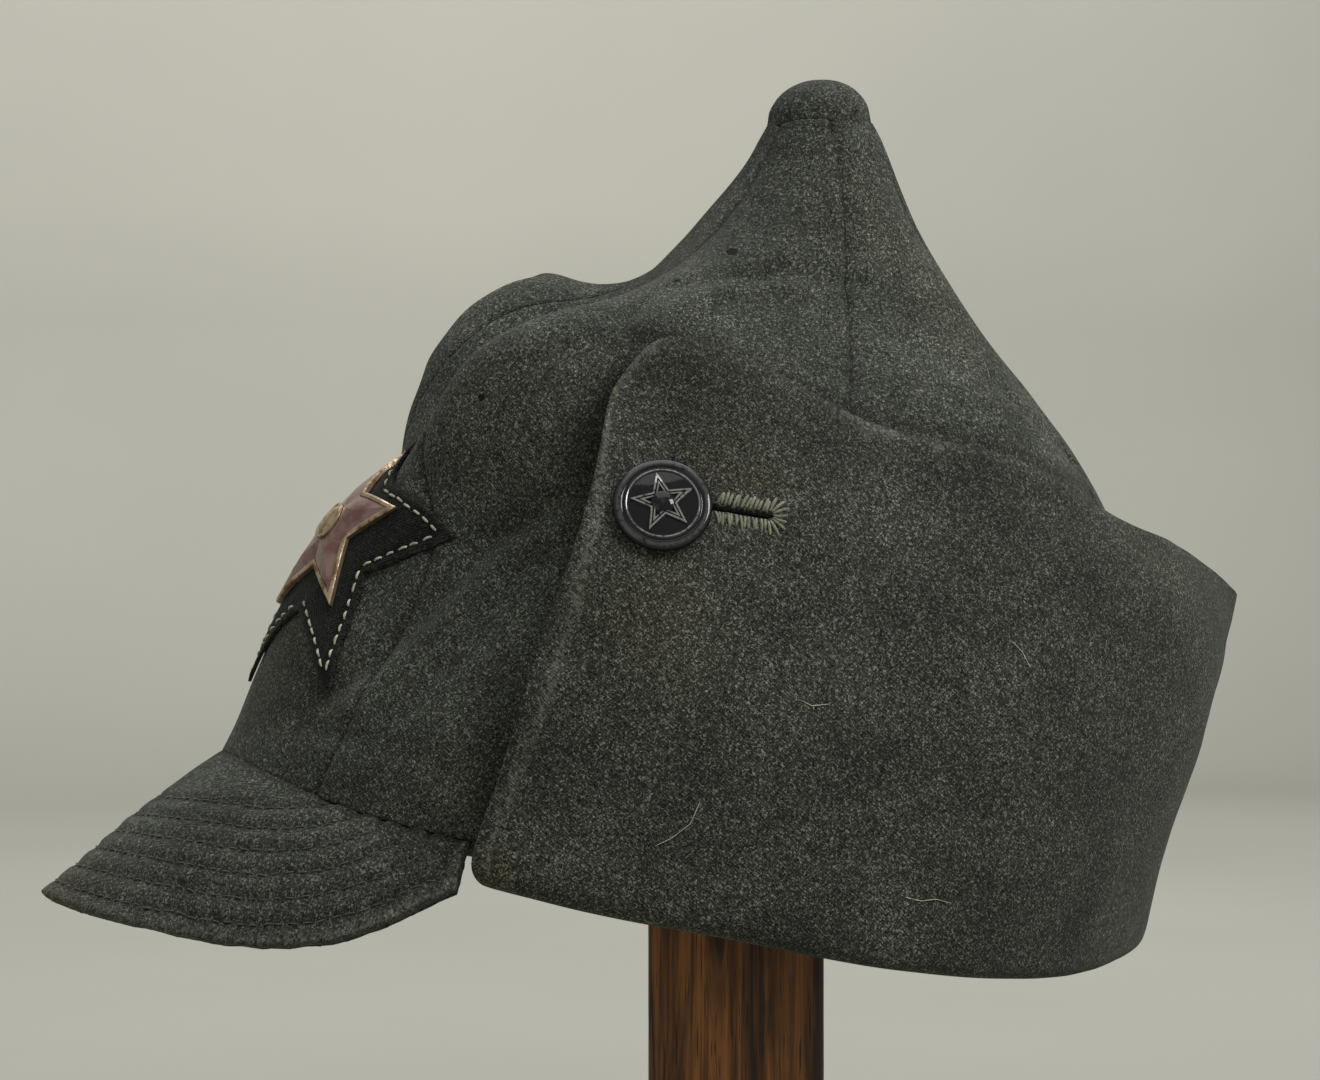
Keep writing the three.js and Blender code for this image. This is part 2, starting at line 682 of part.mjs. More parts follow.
// The star's own frame on the crown's front, and the round form that it bends to
const STAR_BEND_RADIUS = 0.3 * CROWN_WIDTH;
const STAR_TO_POINT = 0.7 * CROWN_HEIGHT;
const STAR_INNER_SHARE = 0.45;
const starAcross = new THREE.Vector3(1, 0, 0);
const starUp = new THREE.Vector3(0, Math.cos(STAR_LEAN), Math.sin(STAR_LEAN));
const starOut = starAcross.clone().cross(starUp);
const starMiddle = place(STAR_MIDDLE);

// Points round a five-pointed star of radius 1, anticlockwise from its top point
function starOutline() {
  const corners = [];
  for (let corner = 0; corner < 10; corner += 1) {
    const radius = corner % 2 === 0 ? 1 : STAR_INNER_SHARE;
    const angle = Math.PI / 2 + STAR_TILT + (corner * Math.PI) / 5;
    corners.push(new THREE.Vector2(radius * Math.cos(angle), radius * Math.sin(angle)));
  }
  return corners.flatMap((corner, index) => {
    const next = corners[(index + 1) % corners.length];
    return Array.from({ length: STAR_STEPS_PER_SIDE }, (unused, step) => (
      corner.clone().lerp(next, step / STAR_STEPS_PER_SIDE)
    ));
  });
}

function circleOutline() {
  return Array.from({ length: BOSS_SIDES }, (unused, step) => {
    const angle = (2 * Math.PI * step) / BOSS_SIDES;
    return new THREE.Vector2(Math.cos(angle), Math.sin(angle));
  });
}

// The outward ray at a place on the star, whose level lines dip sideways as on a cone
function bentRay(across, up) {
  const angle = across / STAR_BEND_RADIUS;
  const direction = starOut.clone().multiplyScalar(Math.cos(angle));
  direction.addScaledVector(starAcross, Math.sin(angle));
  const axis = starMiddle.clone().addScaledVector(starOut, -STAR_BEND_RADIUS);
  axis.addScaledVector(starUp, up - (across * across) / (2 * STAR_TO_POINT));
  return { axis, direction };
}

// The star and its badge follow the crown
function onCrown(across, up, lift) {
  const { axis, direction } = bentRay(across, up);
  const outside = axis.clone().addScaledVector(direction, CROWN_LENGTH);
  const hit = firstHit(crownSkin, outside, direction.clone().negate());
  return hit.point.clone().addScaledVector(hit.normal, LAID_GAP + lift);
}

// A closed piece whose rings all have one outline, each at its reach and lift
function ringedPiece(outline, radius, rings, laid) {
  const faces = new Faces();
  const first = faces.addPoint(laid(0, 0, rings[0].lift));
  const last = faces.addPoint(laid(0, 0, rings[rings.length - 1].lift));
  const ringIds = rings.slice(1, -1).map(({ reach, lift }) => outline.map((corner) => (
    faces.addPoint(laid(corner.x * radius * reach, corner.y * radius * reach, lift))
  )));
  outline.forEach((corner, index) => {
    const next = (index + 1) % outline.length;
    faces.addTriangle(first, ringIds[0][next], ringIds[0][index]);
    for (let ring = 0; ring < ringIds.length - 1; ring += 1) {
      faces.addQuad(
        ringIds[ring][index],
        ringIds[ring][next],
        ringIds[ring + 1][next],
        ringIds[ring + 1][index],
      );
    }
    const top = ringIds[ringIds.length - 1];
    faces.addTriangle(top[index], top[next], last);
  });
  return faces.geometry();
}

function flatRings(thickness, reaches) {
  return [
    { reach: 0, lift: 0 },
    ...reaches.map((reach) => ({ reach, lift: 0 })),
    ...[...reaches].reverse().map((reach) => ({ reach, lift: thickness })),
    { reach: 0, lift: thickness },
  ];
}

// The badge's rim and enamel, as shares of its radius
const RIM_INSIDE = 0.86;
const ENAMEL_REACH = 0.83;
const BADGE_MIDDLE_RING = 0.5;
const CLOTH_STAR_RINGS = [0.25, 0.5, 0.75, 1];

function makeStarAndBadge() {
  const star = starOutline();
  const starRings = flatRings(STAR_CLOTH, CLOTH_STAR_RINGS);
  addPiece('cloth_star', ringedPiece(star, STAR_RADIUS, starRings, onCrown), darkCloth);

  const plateBase = STAR_CLOTH + STACK_GAP;
  const onStar = (across, up, lift) => onCrown(across, up, plateBase + lift);
  const rimRings = [
    { reach: 0, lift: 0 },
    { reach: BADGE_MIDDLE_RING, lift: 0 },
    { reach: 1, lift: 0 },
    { reach: 1, lift: BADGE_RIM_HEIGHT },
    { reach: RIM_INSIDE, lift: BADGE_RIM_HEIGHT },
    { reach: RIM_INSIDE, lift: BADGE_PLATE },
    { reach: BADGE_MIDDLE_RING, lift: BADGE_PLATE },
    { reach: 0, lift: BADGE_PLATE },
  ];
  addPiece('badge_rim', ringedPiece(star, BADGE_RADIUS, rimRings, onStar), paleMetal);

  const enamelBase = plateBase + BADGE_PLATE + STACK_GAP;
  const onPlate = (across, up, lift) => onCrown(across, up, enamelBase + lift);
  const enamelRings = flatRings(ENAMEL_THICKNESS, [BADGE_MIDDLE_RING, ENAMEL_REACH]);
  addPiece('badge_enamel', ringedPiece(star, BADGE_RADIUS, enamelRings, onPlate), redEnamel);

  const bossBase = enamelBase + ENAMEL_THICKNESS + STACK_GAP;
  const onEnamel = (across, up, lift) => onCrown(across, up, bossBase + lift);
  const bossRings = [
    { reach: 0, lift: 0 },
    { reach: 1, lift: 0 },
    { reach: 1, lift: 0.3 * BOSS_HEIGHT },
    { reach: 0.75, lift: 0.8 * BOSS_HEIGHT },
    { reach: 0.4, lift: 0.97 * BOSS_HEIGHT },
    { reach: 0, lift: BOSS_HEIGHT },
  ];
  addPiece('badge_boss', ringedPiece(circleOutline(), BOSS_RADIUS, bossRings, onEnamel), paleMetal);
}

// The stand's domed head, as shares of its radius and of its dome's height
const DOME_PROFILE = [
  { reach: 1, rise: 0 },
  { reach: 0.96, rise: 0.22 },
  { reach: 0.85, rise: 0.5 },
  { reach: 0.65, rise: 0.77 },
  { reach: 0.35, rise: 0.94 },
  { reach: 0, rise: 1 },
];

function domeHeight(reach) {
  const index = DOME_PROFILE.findIndex((row) => row.reach <= reach);
  const inner = DOME_PROFILE[index];
  const outer = DOME_PROFILE[Math.max(index - 1, 0)];
  const share = outer === inner ? 0 : (reach - inner.reach) / (outer.reach - inner.reach);
  const rise = THREE.MathUtils.lerp(inner.rise, outer.rise, share);
  return HEAD_EDGE_HEIGHT + rise * HEAD_DOME_HEIGHT;
}

// The highest place for the head's underside that keeps its dome clear of the crown
function headSeatHeight() {
  let highest = Infinity;
  DOME_PROFILE.filter(({ reach }) => reach > 0).forEach(({ reach, rise }) => {
    for (let step = 0; step < SEATING_RAYS; step += 1) {
      const angle = (2 * Math.PI * (step + 0.5)) / SEATING_RAYS;
      const low = new THREE.Vector3(
        reach * HEAD_RADIUS * Math.cos(angle),
        reach * HEAD_RADIUS * Math.sin(angle),
        BRIM_HEIGHT,
      );
      const above = firstHit(crownLiningSkin, low, new THREE.Vector3(0, 0, 1));
      // A ray may pass through the hole under the knob, far above the dome
      if (above) {
        const dome = HEAD_EDGE_HEIGHT + rise * HEAD_DOME_HEIGHT;
        highest = Math.min(highest, above.point.z - dome);
      }
    }
  });
  liningGrid.flat().forEach((point) => {
    const reach = Math.hypot(point.x, point.y) / HEAD_RADIUS;
    if (reach < 1) {
      highest = Math.min(highest, point.z - domeHeight(reach));
    }
  });
  return highest - HEAD_CLEARANCE;
}

function makeStand() {
  const head = headSeatHeight();
  const edge = POST_WIDTH / 2 - POST_EDGE;
  const square = new THREE.Shape();
  square.absarc(edge, edge, POST_EDGE, 0, Math.PI / 2, false);
  square.absarc(-edge, edge, POST_EDGE, Math.PI / 2, Math.PI, false);
  square.absarc(-edge, -edge, POST_EDGE, Math.PI, 1.5 * Math.PI, false);
  square.absarc(edge, -edge, POST_EDGE, 1.5 * Math.PI, 2 * Math.PI, false);
  const bottom = FOOT_HEIGHT + SEAT_GAP;
  const post = addPiece('stand_post', new THREE.ExtrudeGeometry(square, {
    depth: head - SEAT_GAP - bottom,
    bevelEnabled: false,
    curveSegments: 4,
  }), walnut);
  post.position.z = bottom;
  post.rotation.z = POST_TURN;

  const headProfile = [
    new THREE.Vector2(0, 0),
    new THREE.Vector2(HEAD_RADIUS, 0),
    ...DOME_PROFILE.map(({ reach, rise }) => (
      new THREE.Vector2(reach * HEAD_RADIUS, HEAD_EDGE_HEIGHT + rise * HEAD_DOME_HEIGHT)
    )),
  ];
  const dome = new THREE.LatheGeometry(headProfile, HEAD_SIDES);
  const headPiece = addPiece('stand_head', dome, walnut);
  headPiece.rotation.x = Math.PI / 2;
  headPiece.position.z = head;

  const footProfile = [
    new THREE.Vector2(0, 0),
    new THREE.Vector2(FOOT_RADIUS, 0),
    new THREE.Vector2(FOOT_RADIUS, FOOT_HEIGHT - FOOT_EDGE),
    new THREE.Vector2(FOOT_RADIUS - FOOT_EDGE_MIDDLE, FOOT_HEIGHT - FOOT_EDGE_MIDDLE),
    new THREE.Vector2(FOOT_RADIUS - FOOT_EDGE, FOOT_HEIGHT),
    new THREE.Vector2(0, FOOT_HEIGHT),
  ];
  const foot = addPiece('stand_base', new THREE.LatheGeometry(footProfile, FOOT_SIDES), walnut);
  foot.rotation.x = Math.PI / 2;
}

makeGores();
makeKnob();
makePeak();
makeFlap();
makeStarAndBadge();
makeButton('button_left', seats.left);
makeButton('button_right', seats.right);
makeStand();

export default cap;
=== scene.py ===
"""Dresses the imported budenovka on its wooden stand: wool, thread, badge, buttons, wood and a studio."""

import json
import math

import bpy
import numpy as np
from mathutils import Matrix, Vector, kdtree
from mathutils.bvhtree import BVHTree

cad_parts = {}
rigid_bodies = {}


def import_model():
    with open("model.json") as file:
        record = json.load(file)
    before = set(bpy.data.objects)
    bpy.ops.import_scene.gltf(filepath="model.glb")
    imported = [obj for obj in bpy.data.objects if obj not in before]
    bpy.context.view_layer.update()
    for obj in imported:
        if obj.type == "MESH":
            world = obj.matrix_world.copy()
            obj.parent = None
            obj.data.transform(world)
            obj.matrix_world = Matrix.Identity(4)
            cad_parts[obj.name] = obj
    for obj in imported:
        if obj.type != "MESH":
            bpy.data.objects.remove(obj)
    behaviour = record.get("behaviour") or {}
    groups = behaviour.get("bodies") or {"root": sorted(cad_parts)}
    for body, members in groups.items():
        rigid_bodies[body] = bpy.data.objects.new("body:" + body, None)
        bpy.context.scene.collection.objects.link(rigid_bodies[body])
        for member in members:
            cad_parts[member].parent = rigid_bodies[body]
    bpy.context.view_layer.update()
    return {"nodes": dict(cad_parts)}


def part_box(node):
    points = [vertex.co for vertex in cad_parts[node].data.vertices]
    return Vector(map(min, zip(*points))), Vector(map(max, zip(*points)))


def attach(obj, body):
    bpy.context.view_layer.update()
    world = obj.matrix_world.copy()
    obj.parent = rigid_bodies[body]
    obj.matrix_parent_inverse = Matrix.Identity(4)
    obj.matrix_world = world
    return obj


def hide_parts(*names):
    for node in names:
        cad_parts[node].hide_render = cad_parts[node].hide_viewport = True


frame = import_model()

bl_info = {
    "name": "Budenovka on a stand",
    "version": (1, 0, 0),
    "blender": (4, 5, 0),
    "location": "View3D > Sidebar > Budenovka",
    "description": "Dresses a pointed wool cap, its star, badge and buttons, and the stand that holds it",
    "category": "Object",
}

MM = 0.001

# The picture's size in pixels, the camera that sees the cap as it does, and a pixel's size at the cap
PICTURE = (1320, 1080)
CAMERA_PLACE = Vector((0.8733, -0.2363, 0.205))
CAMERA_AIM = Vector((0.0, -0.01855, 0.205))
LENS = 102.3
SENSOR_WIDTH = 36
PIXEL = 0.24 * MM

# Sizes of the crown, the same as the CAD's
CROWN_LENGTH = 220 * MM
CROWN_WIDTH = 170 * MM
CROWN_HEIGHT = 212 * MM
BRIM_HEIGHT = 105 * MM
SPIRE_BEHIND = 21.6 * MM
HEAD_REACH = 90 * MM

GORES = (
    "gore_front",
    "gore_left_front",
    "gore_left_back",
    "gore_back",
    "gore_right_back",
    "gore_right_front",
)
BUTTONS = {"button_left": "left_button", "button_right": "right_button"}
OTHER_SIDE = np.array((-1, 1, 1))


def length(name, description, default):
    return bpy.props.FloatProperty(
        name=name, description=description, default=default, min=0, unit="LENGTH", precision=5
    )


def colour(name, description, default):
    return bpy.props.FloatVectorProperty(
        name=name, description=description, default=default, min=0, max=1, size=3, subtype="COLOR"
    )


class CapSizes(bpy.types.PropertyGroup):
    dent_depth: length("Dent depth", "How far the broad dents of the wool go", 0.7 * MM)
    star_hollow: length("Star hollow", "How far the crown's front sinks in beside the star", 5.0 * MM)
    star_swell: length("Star swell", "How far the crown swells under the star's near arm", 2.8 * MM)
    seam_depth: length("Seam depth", "How far the crown's seams sink in", 0.7 * MM)
    quilt_spacing: length("Row spacing", "Distance between the peak's rows of stitches", 5.9 * MM)
    quilt_depth: length("Row depth", "How far the peak's rows sink in", 0.55 * MM)
    stitch_length: length("Stitch length", "Length of a running stitch", 2.3 * MM)
    stitch_gap: length("Stitch gap", "Space between two running stitches", 1.0 * MM)
    thread_radius: length("Thread radius", "Radius of the sewing thread", 0.22 * MM)
    star_radius: length("Star radius", "Radius of the cloth star", 43 * MM)
    badge_radius: length("Badge radius", "Radius of the metal star badge", 23.5 * MM)
    button_radius: length("Button radius", "Radius of the side buttons", 11 * MM)
    button_rise: length("Button rise", "Height of the button's face over the cloth", 3.6 * MM)
    slit_lift: length("Slit lift", "How far the worn slit has crept up", 2.5 * MM)
    buttonhole_length: length("Buttonhole length", "Length of the slit in the flap", 26 * MM)


class CapColours(bpy.types.PropertyGroup):
    crown: colour("Crown wool", "Grey olive wool of the crown", (0.0300, 0.0318, 0.0246))
    flap: colour("Flap wool", "Grey olive wool of the flap", (0.0275, 0.0284, 0.0215))
    peak: colour("Peak wool", "Grey olive wool of the peak", (0.0310, 0.0325, 0.0257))
    pale_fleck: colour("Pale fibres", "Pale fibres in the wool", (0.205, 0.214, 0.180))
    dark_fleck: colour("Dark fibres", "Dark fibres in the wool", (0.0075, 0.0085, 0.0085))
    star: colour("Star cloth", "Nearly black cloth of the star", (0.0042, 0.0042, 0.0034))
    thread: colour("Pale thread", "Old thread round the star", (0.50, 0.47, 0.36))
    olive_thread: colour("Olive thread", "Thread of the buttonholes", (0.21, 0.21, 0.14))
    enamel: colour("Enamel", "Faded red enamel of the badge", (0.125, 0.042, 0.033))
    metal: colour("Badge metal", "Pale worn brass of the badge", (0.56, 0.42, 0.28))
    lacquer: colour("Button lacquer", "Black lacquer of the buttons", (0.006, 0.006, 0.007))
    wood: colour("Wood", "Oiled brown wood of the stand", (0.150, 0.058, 0.012))
    floor: colour("Floor", "Pale floor and backdrop", (0.33, 0.322, 0.282))


def sizes():
    return bpy.context.scene.cap_sizes


def colours():
    return bpy.context.scene.cap_colours


# Places in the picture, as pixels from its left and its top

# The flap's edges, and the same lines on the crown just beside them, where shadow is painted on the crown
FLAP_FRONT = ((652, 342), (612, 392), (604, 440), (596, 520), (572, 620), (530, 740), (484, 868))
FLAP_TOP = ((654, 342), (700, 349), (740, 366), (800, 395), (870, 424), (1000, 455), (1100, 505))
CROWN_AT_FRONT = ((644, 338), (606, 392), (598, 440), (590, 520), (566, 620), (524, 740), (478, 864))
CROWN_AT_TOP = ((652, 334), (700, 341), (740, 358), (800, 387), (870, 416), (1000, 447), (1090, 490))
FLAP_HEM = ((622, 440), (610, 520), (592, 600), (556, 710), (512, 820), (498, 862))
FLAP_CORNER_MARKS = ((606, 432), (609, 410), (618, 392), (628, 384))

# Stains on the flap and on the peak's corner: place, reach in millimetres and strength
FLAP_STAINS = (
    ((735, 470), 13, 0.45),
    ((650, 620), 18, 0.35),
    ((690, 380), 12, 0.25),
    ((490, 872), 5, 0.9),
    ((1150, 560), 14, 0.3),
)
PEAK_STAINS = (((52, 898), 14, 0.8),)

# Moth holes in the crown: place and radius in millimetres
MOTH_HOLES = (((732, 252), 1.35), ((481, 398), 0.9), ((677, 281), 0.55))

# Loose hairs, as places along each
FLAP_HAIRS = (
    ((905, 897), (920, 901), (936, 899), (950, 903)),
    ((655, 846), (672, 838), (690, 824), (700, 802)),
    ((1010, 640), (1022, 652), (1030, 668)),
    ((800, 700), (812, 706), (830, 704)),
)
STAR_HAIRS = (
    ((445, 523), (457, 524), (463, 528)),
    ((318, 664), (314, 669), (317, 674)),
)

# Folds on the cap's left side: places along each, depth and half width in millimetres
FOLDS = (
    (((330, 692), (380, 655), (430, 612), (490, 545), (555, 503)), 1.5, 3.4),
    (((352, 704), (405, 660), (452, 610), (500, 560), (560, 528)), -0.9, 3.0),
    (((395, 715), (450, 665), (500, 610), (545, 560)), 1.0, 3.6),
    (((280, 720), (330, 735), (390, 745), (440, 770)), 0.7, 3.5),
    (((620, 318), (668, 290), (725, 277), (782, 270), (860, 282)), 0.8, 2.6),
    (((640, 330), (690, 300), (740, 288), (800, 286)), -0.7, 2.6),
    (((690, 335), (720, 305), (762, 276)), 0.8, 2.0),
    (((776, 122), (800, 131), (826, 132), (857, 122)), 0.9, 1.7),
    (((779, 140), (812, 150), (850, 146)), -0.5, 2.2),
    (((822, 160), (820, 200), (818, 260)), 0.45, 1.8),
    (((470, 400), (510, 372), (560, 350), (600, 345)), 0.6, 3.2),
    (((1010, 395), (1045, 430), (1078, 468), (1100, 498)), 0.8, 2.2),
    (((880, 330), (930, 350), (985, 372)), 0.6, 3.0),
)


def picture_ray(x, y):
    """The direction from the camera through a point of the picture, in pixels."""
    focal = LENS / SENSOR_WIDTH * PICTURE[0]
    forward = (CAMERA_AIM - CAMERA_PLACE).normalized()
    right = forward.cross(Vector((0, 0, 1))).normalized()
    up = right.cross(forward)
    across, rise = float(x - PICTURE[0] / 2) / focal, float(PICTURE[1] / 2 - y) / focal
    return (forward + across * right + rise * up).normalized()


class Surface:
    """Looks up places on the pieces of cloth that it is given."""

    def __init__(self, *pieces):
        vertices, faces = [], []
        for piece in pieces:
            start = len(vertices)
            vertices += [vertex.co.copy() for vertex in piece.data.vertices]
            faces += [[start + i for i in polygon.vertices] for polygon in piece.data.polygons]
        self.tree = BVHTree.FromPolygons(vertices, faces)

    def seen(self, x, y):
        """The place on the cloth at a point of the picture, or the nearest one where it shows none."""
        ray = picture_ray(x, y)
        place, normal, _, _ = self.tree.ray_cast(CAMERA_PLACE, ray)
        if place is None:
            reach = (CAMERA_AIM - CAMERA_PLACE).length
            place, normal, _, _ = self.tree.find_nearest(CAMERA_PLACE + reach * ray)
        return place, normal

    def cast(self, start, direction):
        place, normal, _, _ = self.tree.ray_cast(Vector(start), Vector(direction))
        return place, normal

    def nearest(self, point):
        place, normal, _, _ = self.tree.find_nearest(Vector(point))
        return place, normal

    def seen_line(self, corners, step=1.0 * MM):
        """Close points and normals on the cloth along a line through these places of the picture."""
        corners = np.array(corners, float)
        spans = np.linalg.norm(np.diff(corners, axis=0), axis=1)
        along = np.concatenate([[0], np.cumsum(spans)])
        count = max(3, int(along[-1] * PIXEL / step))
        at = np.linspace(0, along[-1], count)
        xs, ys = np.interp(at, along, corners[:, 0]), np.interp(at, along, corners[:, 1])
        hits = [self.seen(x, y) for x, y in zip(xs, ys)]
        return np.array([hit[0] for hit in hits]), np.array([hit[1] for hit in hits])


# Meshes


def only(piece):
    """Makes this the one selected piece, in object mode."""
    if bpy.context.object and bpy.context.object.mode != "OBJECT":
        bpy.ops.object.mode_set(mode="OBJECT")
    bpy.ops.object.select_all(action="DESELECT")
    piece.select_set(True)
    bpy.context.view_layer.objects.active = piece


def edit_all(piece, select="FACE"):
    """Opens a piece in edit mode with all of it selected."""
    only(piece)
    bpy.ops.object.mode_set(mode="EDIT")
    bpy.ops.mesh.select_mode(type=select)
    bpy.ops.mesh.select_all(action="SELECT")


def face_outwards(piece, merge=None):
    """Turns a closed piece's faces outwards, with its doubles merged first if asked."""
    edit_all(piece)
    if merge:
        bpy.ops.mesh.remove_doubles(threshold=merge)
    bpy.ops.mesh.normals_make_consistent(inside=False)
    bpy.ops.object.mode_set(mode="OBJECT")


def crown_pieces():
    return [bpy.data.objects[gore.replace("gore", "crown")] for gore in GORES]


def points_of(piece):
    flat = np.empty(len(piece.data.vertices) * 3)
    piece.data.vertices.foreach_get("co", flat)
    return flat.reshape(-1, 3)


def normals_of(piece):
    flat = np.empty(len(piece.data.vertices) * 3, np.float32)
    piece.data.vertex_normals.foreach_get("vector", flat)
    return flat.reshape(-1, 3).astype(float)


def put_points(piece, points):
    piece.data.vertices.foreach_set("co", np.asarray(points, np.float32).ravel())
    piece.data.update()


def finish_piece(piece, material, replaces=(), angle=60):
    only(piece)
    bpy.ops.object.transform_apply(location=True, rotation=True, scale=True)
    bpy.ops.object.shade_smooth_by_angle(angle=math.radians(angle))
    piece.data.materials.clear()
    piece.data.materials.append(material)
    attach(piece, "root")
    if replaces:
        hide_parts(*replaces)
    return piece


def apply_subdivision(piece, levels):
    only(piece)
    smoother = piece.modifiers.new("smooth", "SUBSURF")
    smoother.levels = levels
    smoother.render_levels = levels
    bpy.ops.object.modifier_apply(modifier=smoother.name)


def refined_copy(node, name, levels, sharp=50, crease=0.8):
    """A copy of a CAD node in smooth quads, whose rims and corners stay firm."""
    piece = bpy.data.objects.new(name, frame["nodes"][node].data.copy())
    bpy.context.scene.collection.objects.link(piece)
    edit_all(piece, "EDGE")
    bpy.ops.mesh.remove_doubles(threshold=1e-5)
    bpy.ops.mesh.tris_convert_to_quads(
        face_threshold=math.radians(40), shape_threshold=math.radians(70)
    )
    bpy.ops.mesh.select_all(action="DESELECT")
    bpy.ops.mesh.edges_select_sharp(sharpness=math.radians(sharp))
    bpy.ops.transform.edge_crease(value=crease)
    bpy.ops.object.mode_set(mode="OBJECT")
    apply_subdivision(piece, levels)
    return piece


def mesh_piece(name, vertices, faces):
    """A new piece from points and faces that code has worked out, such as thread."""
    mesh = bpy.data.meshes.new(name)
    mesh.from_pydata([tuple(vertex) for vertex in vertices], [], faces)
    mesh.validate()
    mesh.update()
    piece = bpy.data.objects.new(name, mesh)
    bpy.context.scene.collection.objects.link(piece)
    return piece


def add_mask(piece, name, values):
    mask = piece.data.attributes.new(name, "FLOAT", "POINT")
    mask.data.foreach_set("value", np.asarray(values, np.float32))


def lay_cloth_map(piece, coordinates):
    """Gives a piece its cloth map, in metres along and across the threads."""
    layer = piece.data.uv_layers.new(name="cloth")
    corners = np.empty(len(piece.data.loops), int)
    piece.data.loops.foreach_get("vertex_index", corners)
    layer.data.foreach_set("uv", np.asarray(coordinates, np.float32)[corners].ravel())


def round_map(points):
    """Cloth coordinates round the head and up it."""
    around = np.arctan2(points[:, 0], -points[:, 1]) * HEAD_REACH
    return np.column_stack([around, points[:, 2]])


# The star's own frame on the crown's front, the same as the CAD's
STAR_MIDDLE = Vector((0.07 * CROWN_WIDTH, -0.458 * CROWN_LENGTH, BRIM_HEIGHT + 0.482 * CROWN_HEIGHT))
STAR_LEAN = math.radians(59)
STAR_TILT = math.radians(5)
STAR_UP = Vector((0, math.cos(STAR_LEAN), math.sin(STAR_LEAN)))
STAR_OUT = Vector((0, -math.sin(STAR_LEAN), math.cos(STAR_LEAN)))
STAR_BEND_RADIUS = 0.3 * CROWN_WIDTH
STAR_TO_POINT = 0.7 * CROWN_HEIGHT
STAR_INNER_SHARE = 0.45
STITCHES_INSIDE = 2.3 * MM
BADGE_TURN = math.radians(4)
BADGE_SHIFT = (-2.0 * MM, 2.0 * MM)


# The lie of the cloth


def noise(points, size, seed):
    """Smooth noise from -1 to 1 at each point, with dents about this size across."""
    grid = points / size + 50.0
    cell = np.floor(grid).astype(int)
    part = grid - cell
    part = part * part * (3 - 2 * part)
    table = np.random.default_rng(seed).uniform(-1, 1, 4096)
    total = np.zeros(len(points))
    for corner in range(8):
        offset = np.array([corner & 1, corner >> 1 & 1, corner >> 2 & 1])
        at = cell + offset
        index = (at[:, 0] * 7919 + at[:, 1] * 104729 + at[:, 2] * 1299709) % 4096
        total += np.prod(np.where(offset == 1, part, 1 - part), axis=1) * table[index]
    return total


def outward(points):
    """The way out of the cap, the same for both faces of its cloth."""
    out = (points - np.array([0, -10, 160]) * MM) / np.array([85, 110, 200]) ** 2
    return out / np.linalg.norm(out, axis=1)[:, None]


def tree_of(points):
    tree = kdtree.KDTree(len(points))
    for index, point in enumerate(points):
        tree.insert(point, index)
    tree.balance()
    return tree


def distance_to(points, others):
    tree = tree_of(others)
    return np.array([tree.find(point)[2] for point in points])


def bell(distance, width):
    """Falls smoothly from 1 to 0 over about twice the width."""
    return np.exp(-((distance / width) ** 2))


def read_folds():
    """The folds as points on the crown, each with its mirror on the other side."""
    crown = Surface(*[frame["nodes"][gore] for gore in GORES])
    folds = []
    for corners, depth, width in FOLDS:
        line, _ = crown.seen_line(corners, step=1.5 * MM)
        folds.append((line, depth * MM, width * MM))
        folds.append((line * OTHER_SIDE, 0.8 * depth * MM, width * MM))
    return folds


def star_sink(points):
    """How far the crown's front sinks in beside the star, less its swell under the near arm."""
    in_front = points[:, 1] < -30 * MM
    beyond = points[:, 0] + 14 * MM
    hollow = bell(beyond, np.where(beyond > 0, 26 * MM, 45 * MM))
    hollow *= bell(points[:, 2] - 224 * MM, 23 * MM) * in_front
    swell = bell(points[:, 0] - 24 * MM, 15 * MM)
    swell *= bell(points[:, 2] - 205 * MM, 26 * MM) * in_front
    return sizes().star_hollow * hollow - sizes().star_swell * swell


def settled(points, folds=()):
    """Moves points of any piece with the broad dents and the folds of the cloth beneath it."""
    points = np.asarray(points, float)
    depth = sizes().dent_depth
    dents = depth * noise(points, 26 * MM, 3) + 0.5 * depth * noise(points, 11 * MM, 5)
    slide = np.column_stack([noise(points, 30 * MM, seed) for seed in (11, 12, 13)])
    moved = dents[:, None] * outward(points) + 0.4 * depth * slide
    moved -= star_sink(points)[:, None] * np.array(STAR_OUT)
    for line, fold_depth, width in folds:
        near = distance_to(points, line)
        moved -= (fold_depth * bell(near, width))[:, None] * outward(points)
    head = BVHTree.FromPolygons(
        [vertex.co for vertex in frame["nodes"]["stand_head"].data.vertices],
        [polygon.vertices[:] for polygon in frame["nodes"]["stand_head"].data.polygons],
    )
    clear = np.array([head.find_nearest(Vector(point))[3] for point in points])
    share = np.clip((clear - 1 * MM) / (6 * MM), 0, 1)
    return points + moved * share[:, None]


# Thread


def running_stitches(line, outs, stitch, gap, lift=0.0, sway=0.12, seed=1):
    """Start, end and outward direction of each stitch of a row along a line on cloth."""
    random = np.random.default_rng(seed)
    along = np.concatenate([[0], np.cumsum(np.linalg.norm(np.diff(line, axis=0), axis=1))])
    starts = np.arange(0.5 * gap, along[-1] - stitch, stitch + gap)

    def at(where, values):
        return np.array([np.interp(where, along, values[:, axis]) for axis in range(3)])

    made = []
    for start in starts:
        start += random.uniform(-0.2, 0.2) * gap
        first, last = at(start, line), at(start + stitch * random.uniform(0.85, 1.1), line)
        out = at(start + stitch / 2, outs)
        side = np.cross(last - first, out)
        side /= np.linalg.norm(side) + 1e-9
        swing = side * random.uniform(-sway, sway) * stitch
        made.append((first + lift * out, last + lift * out + swing, out))
    return made


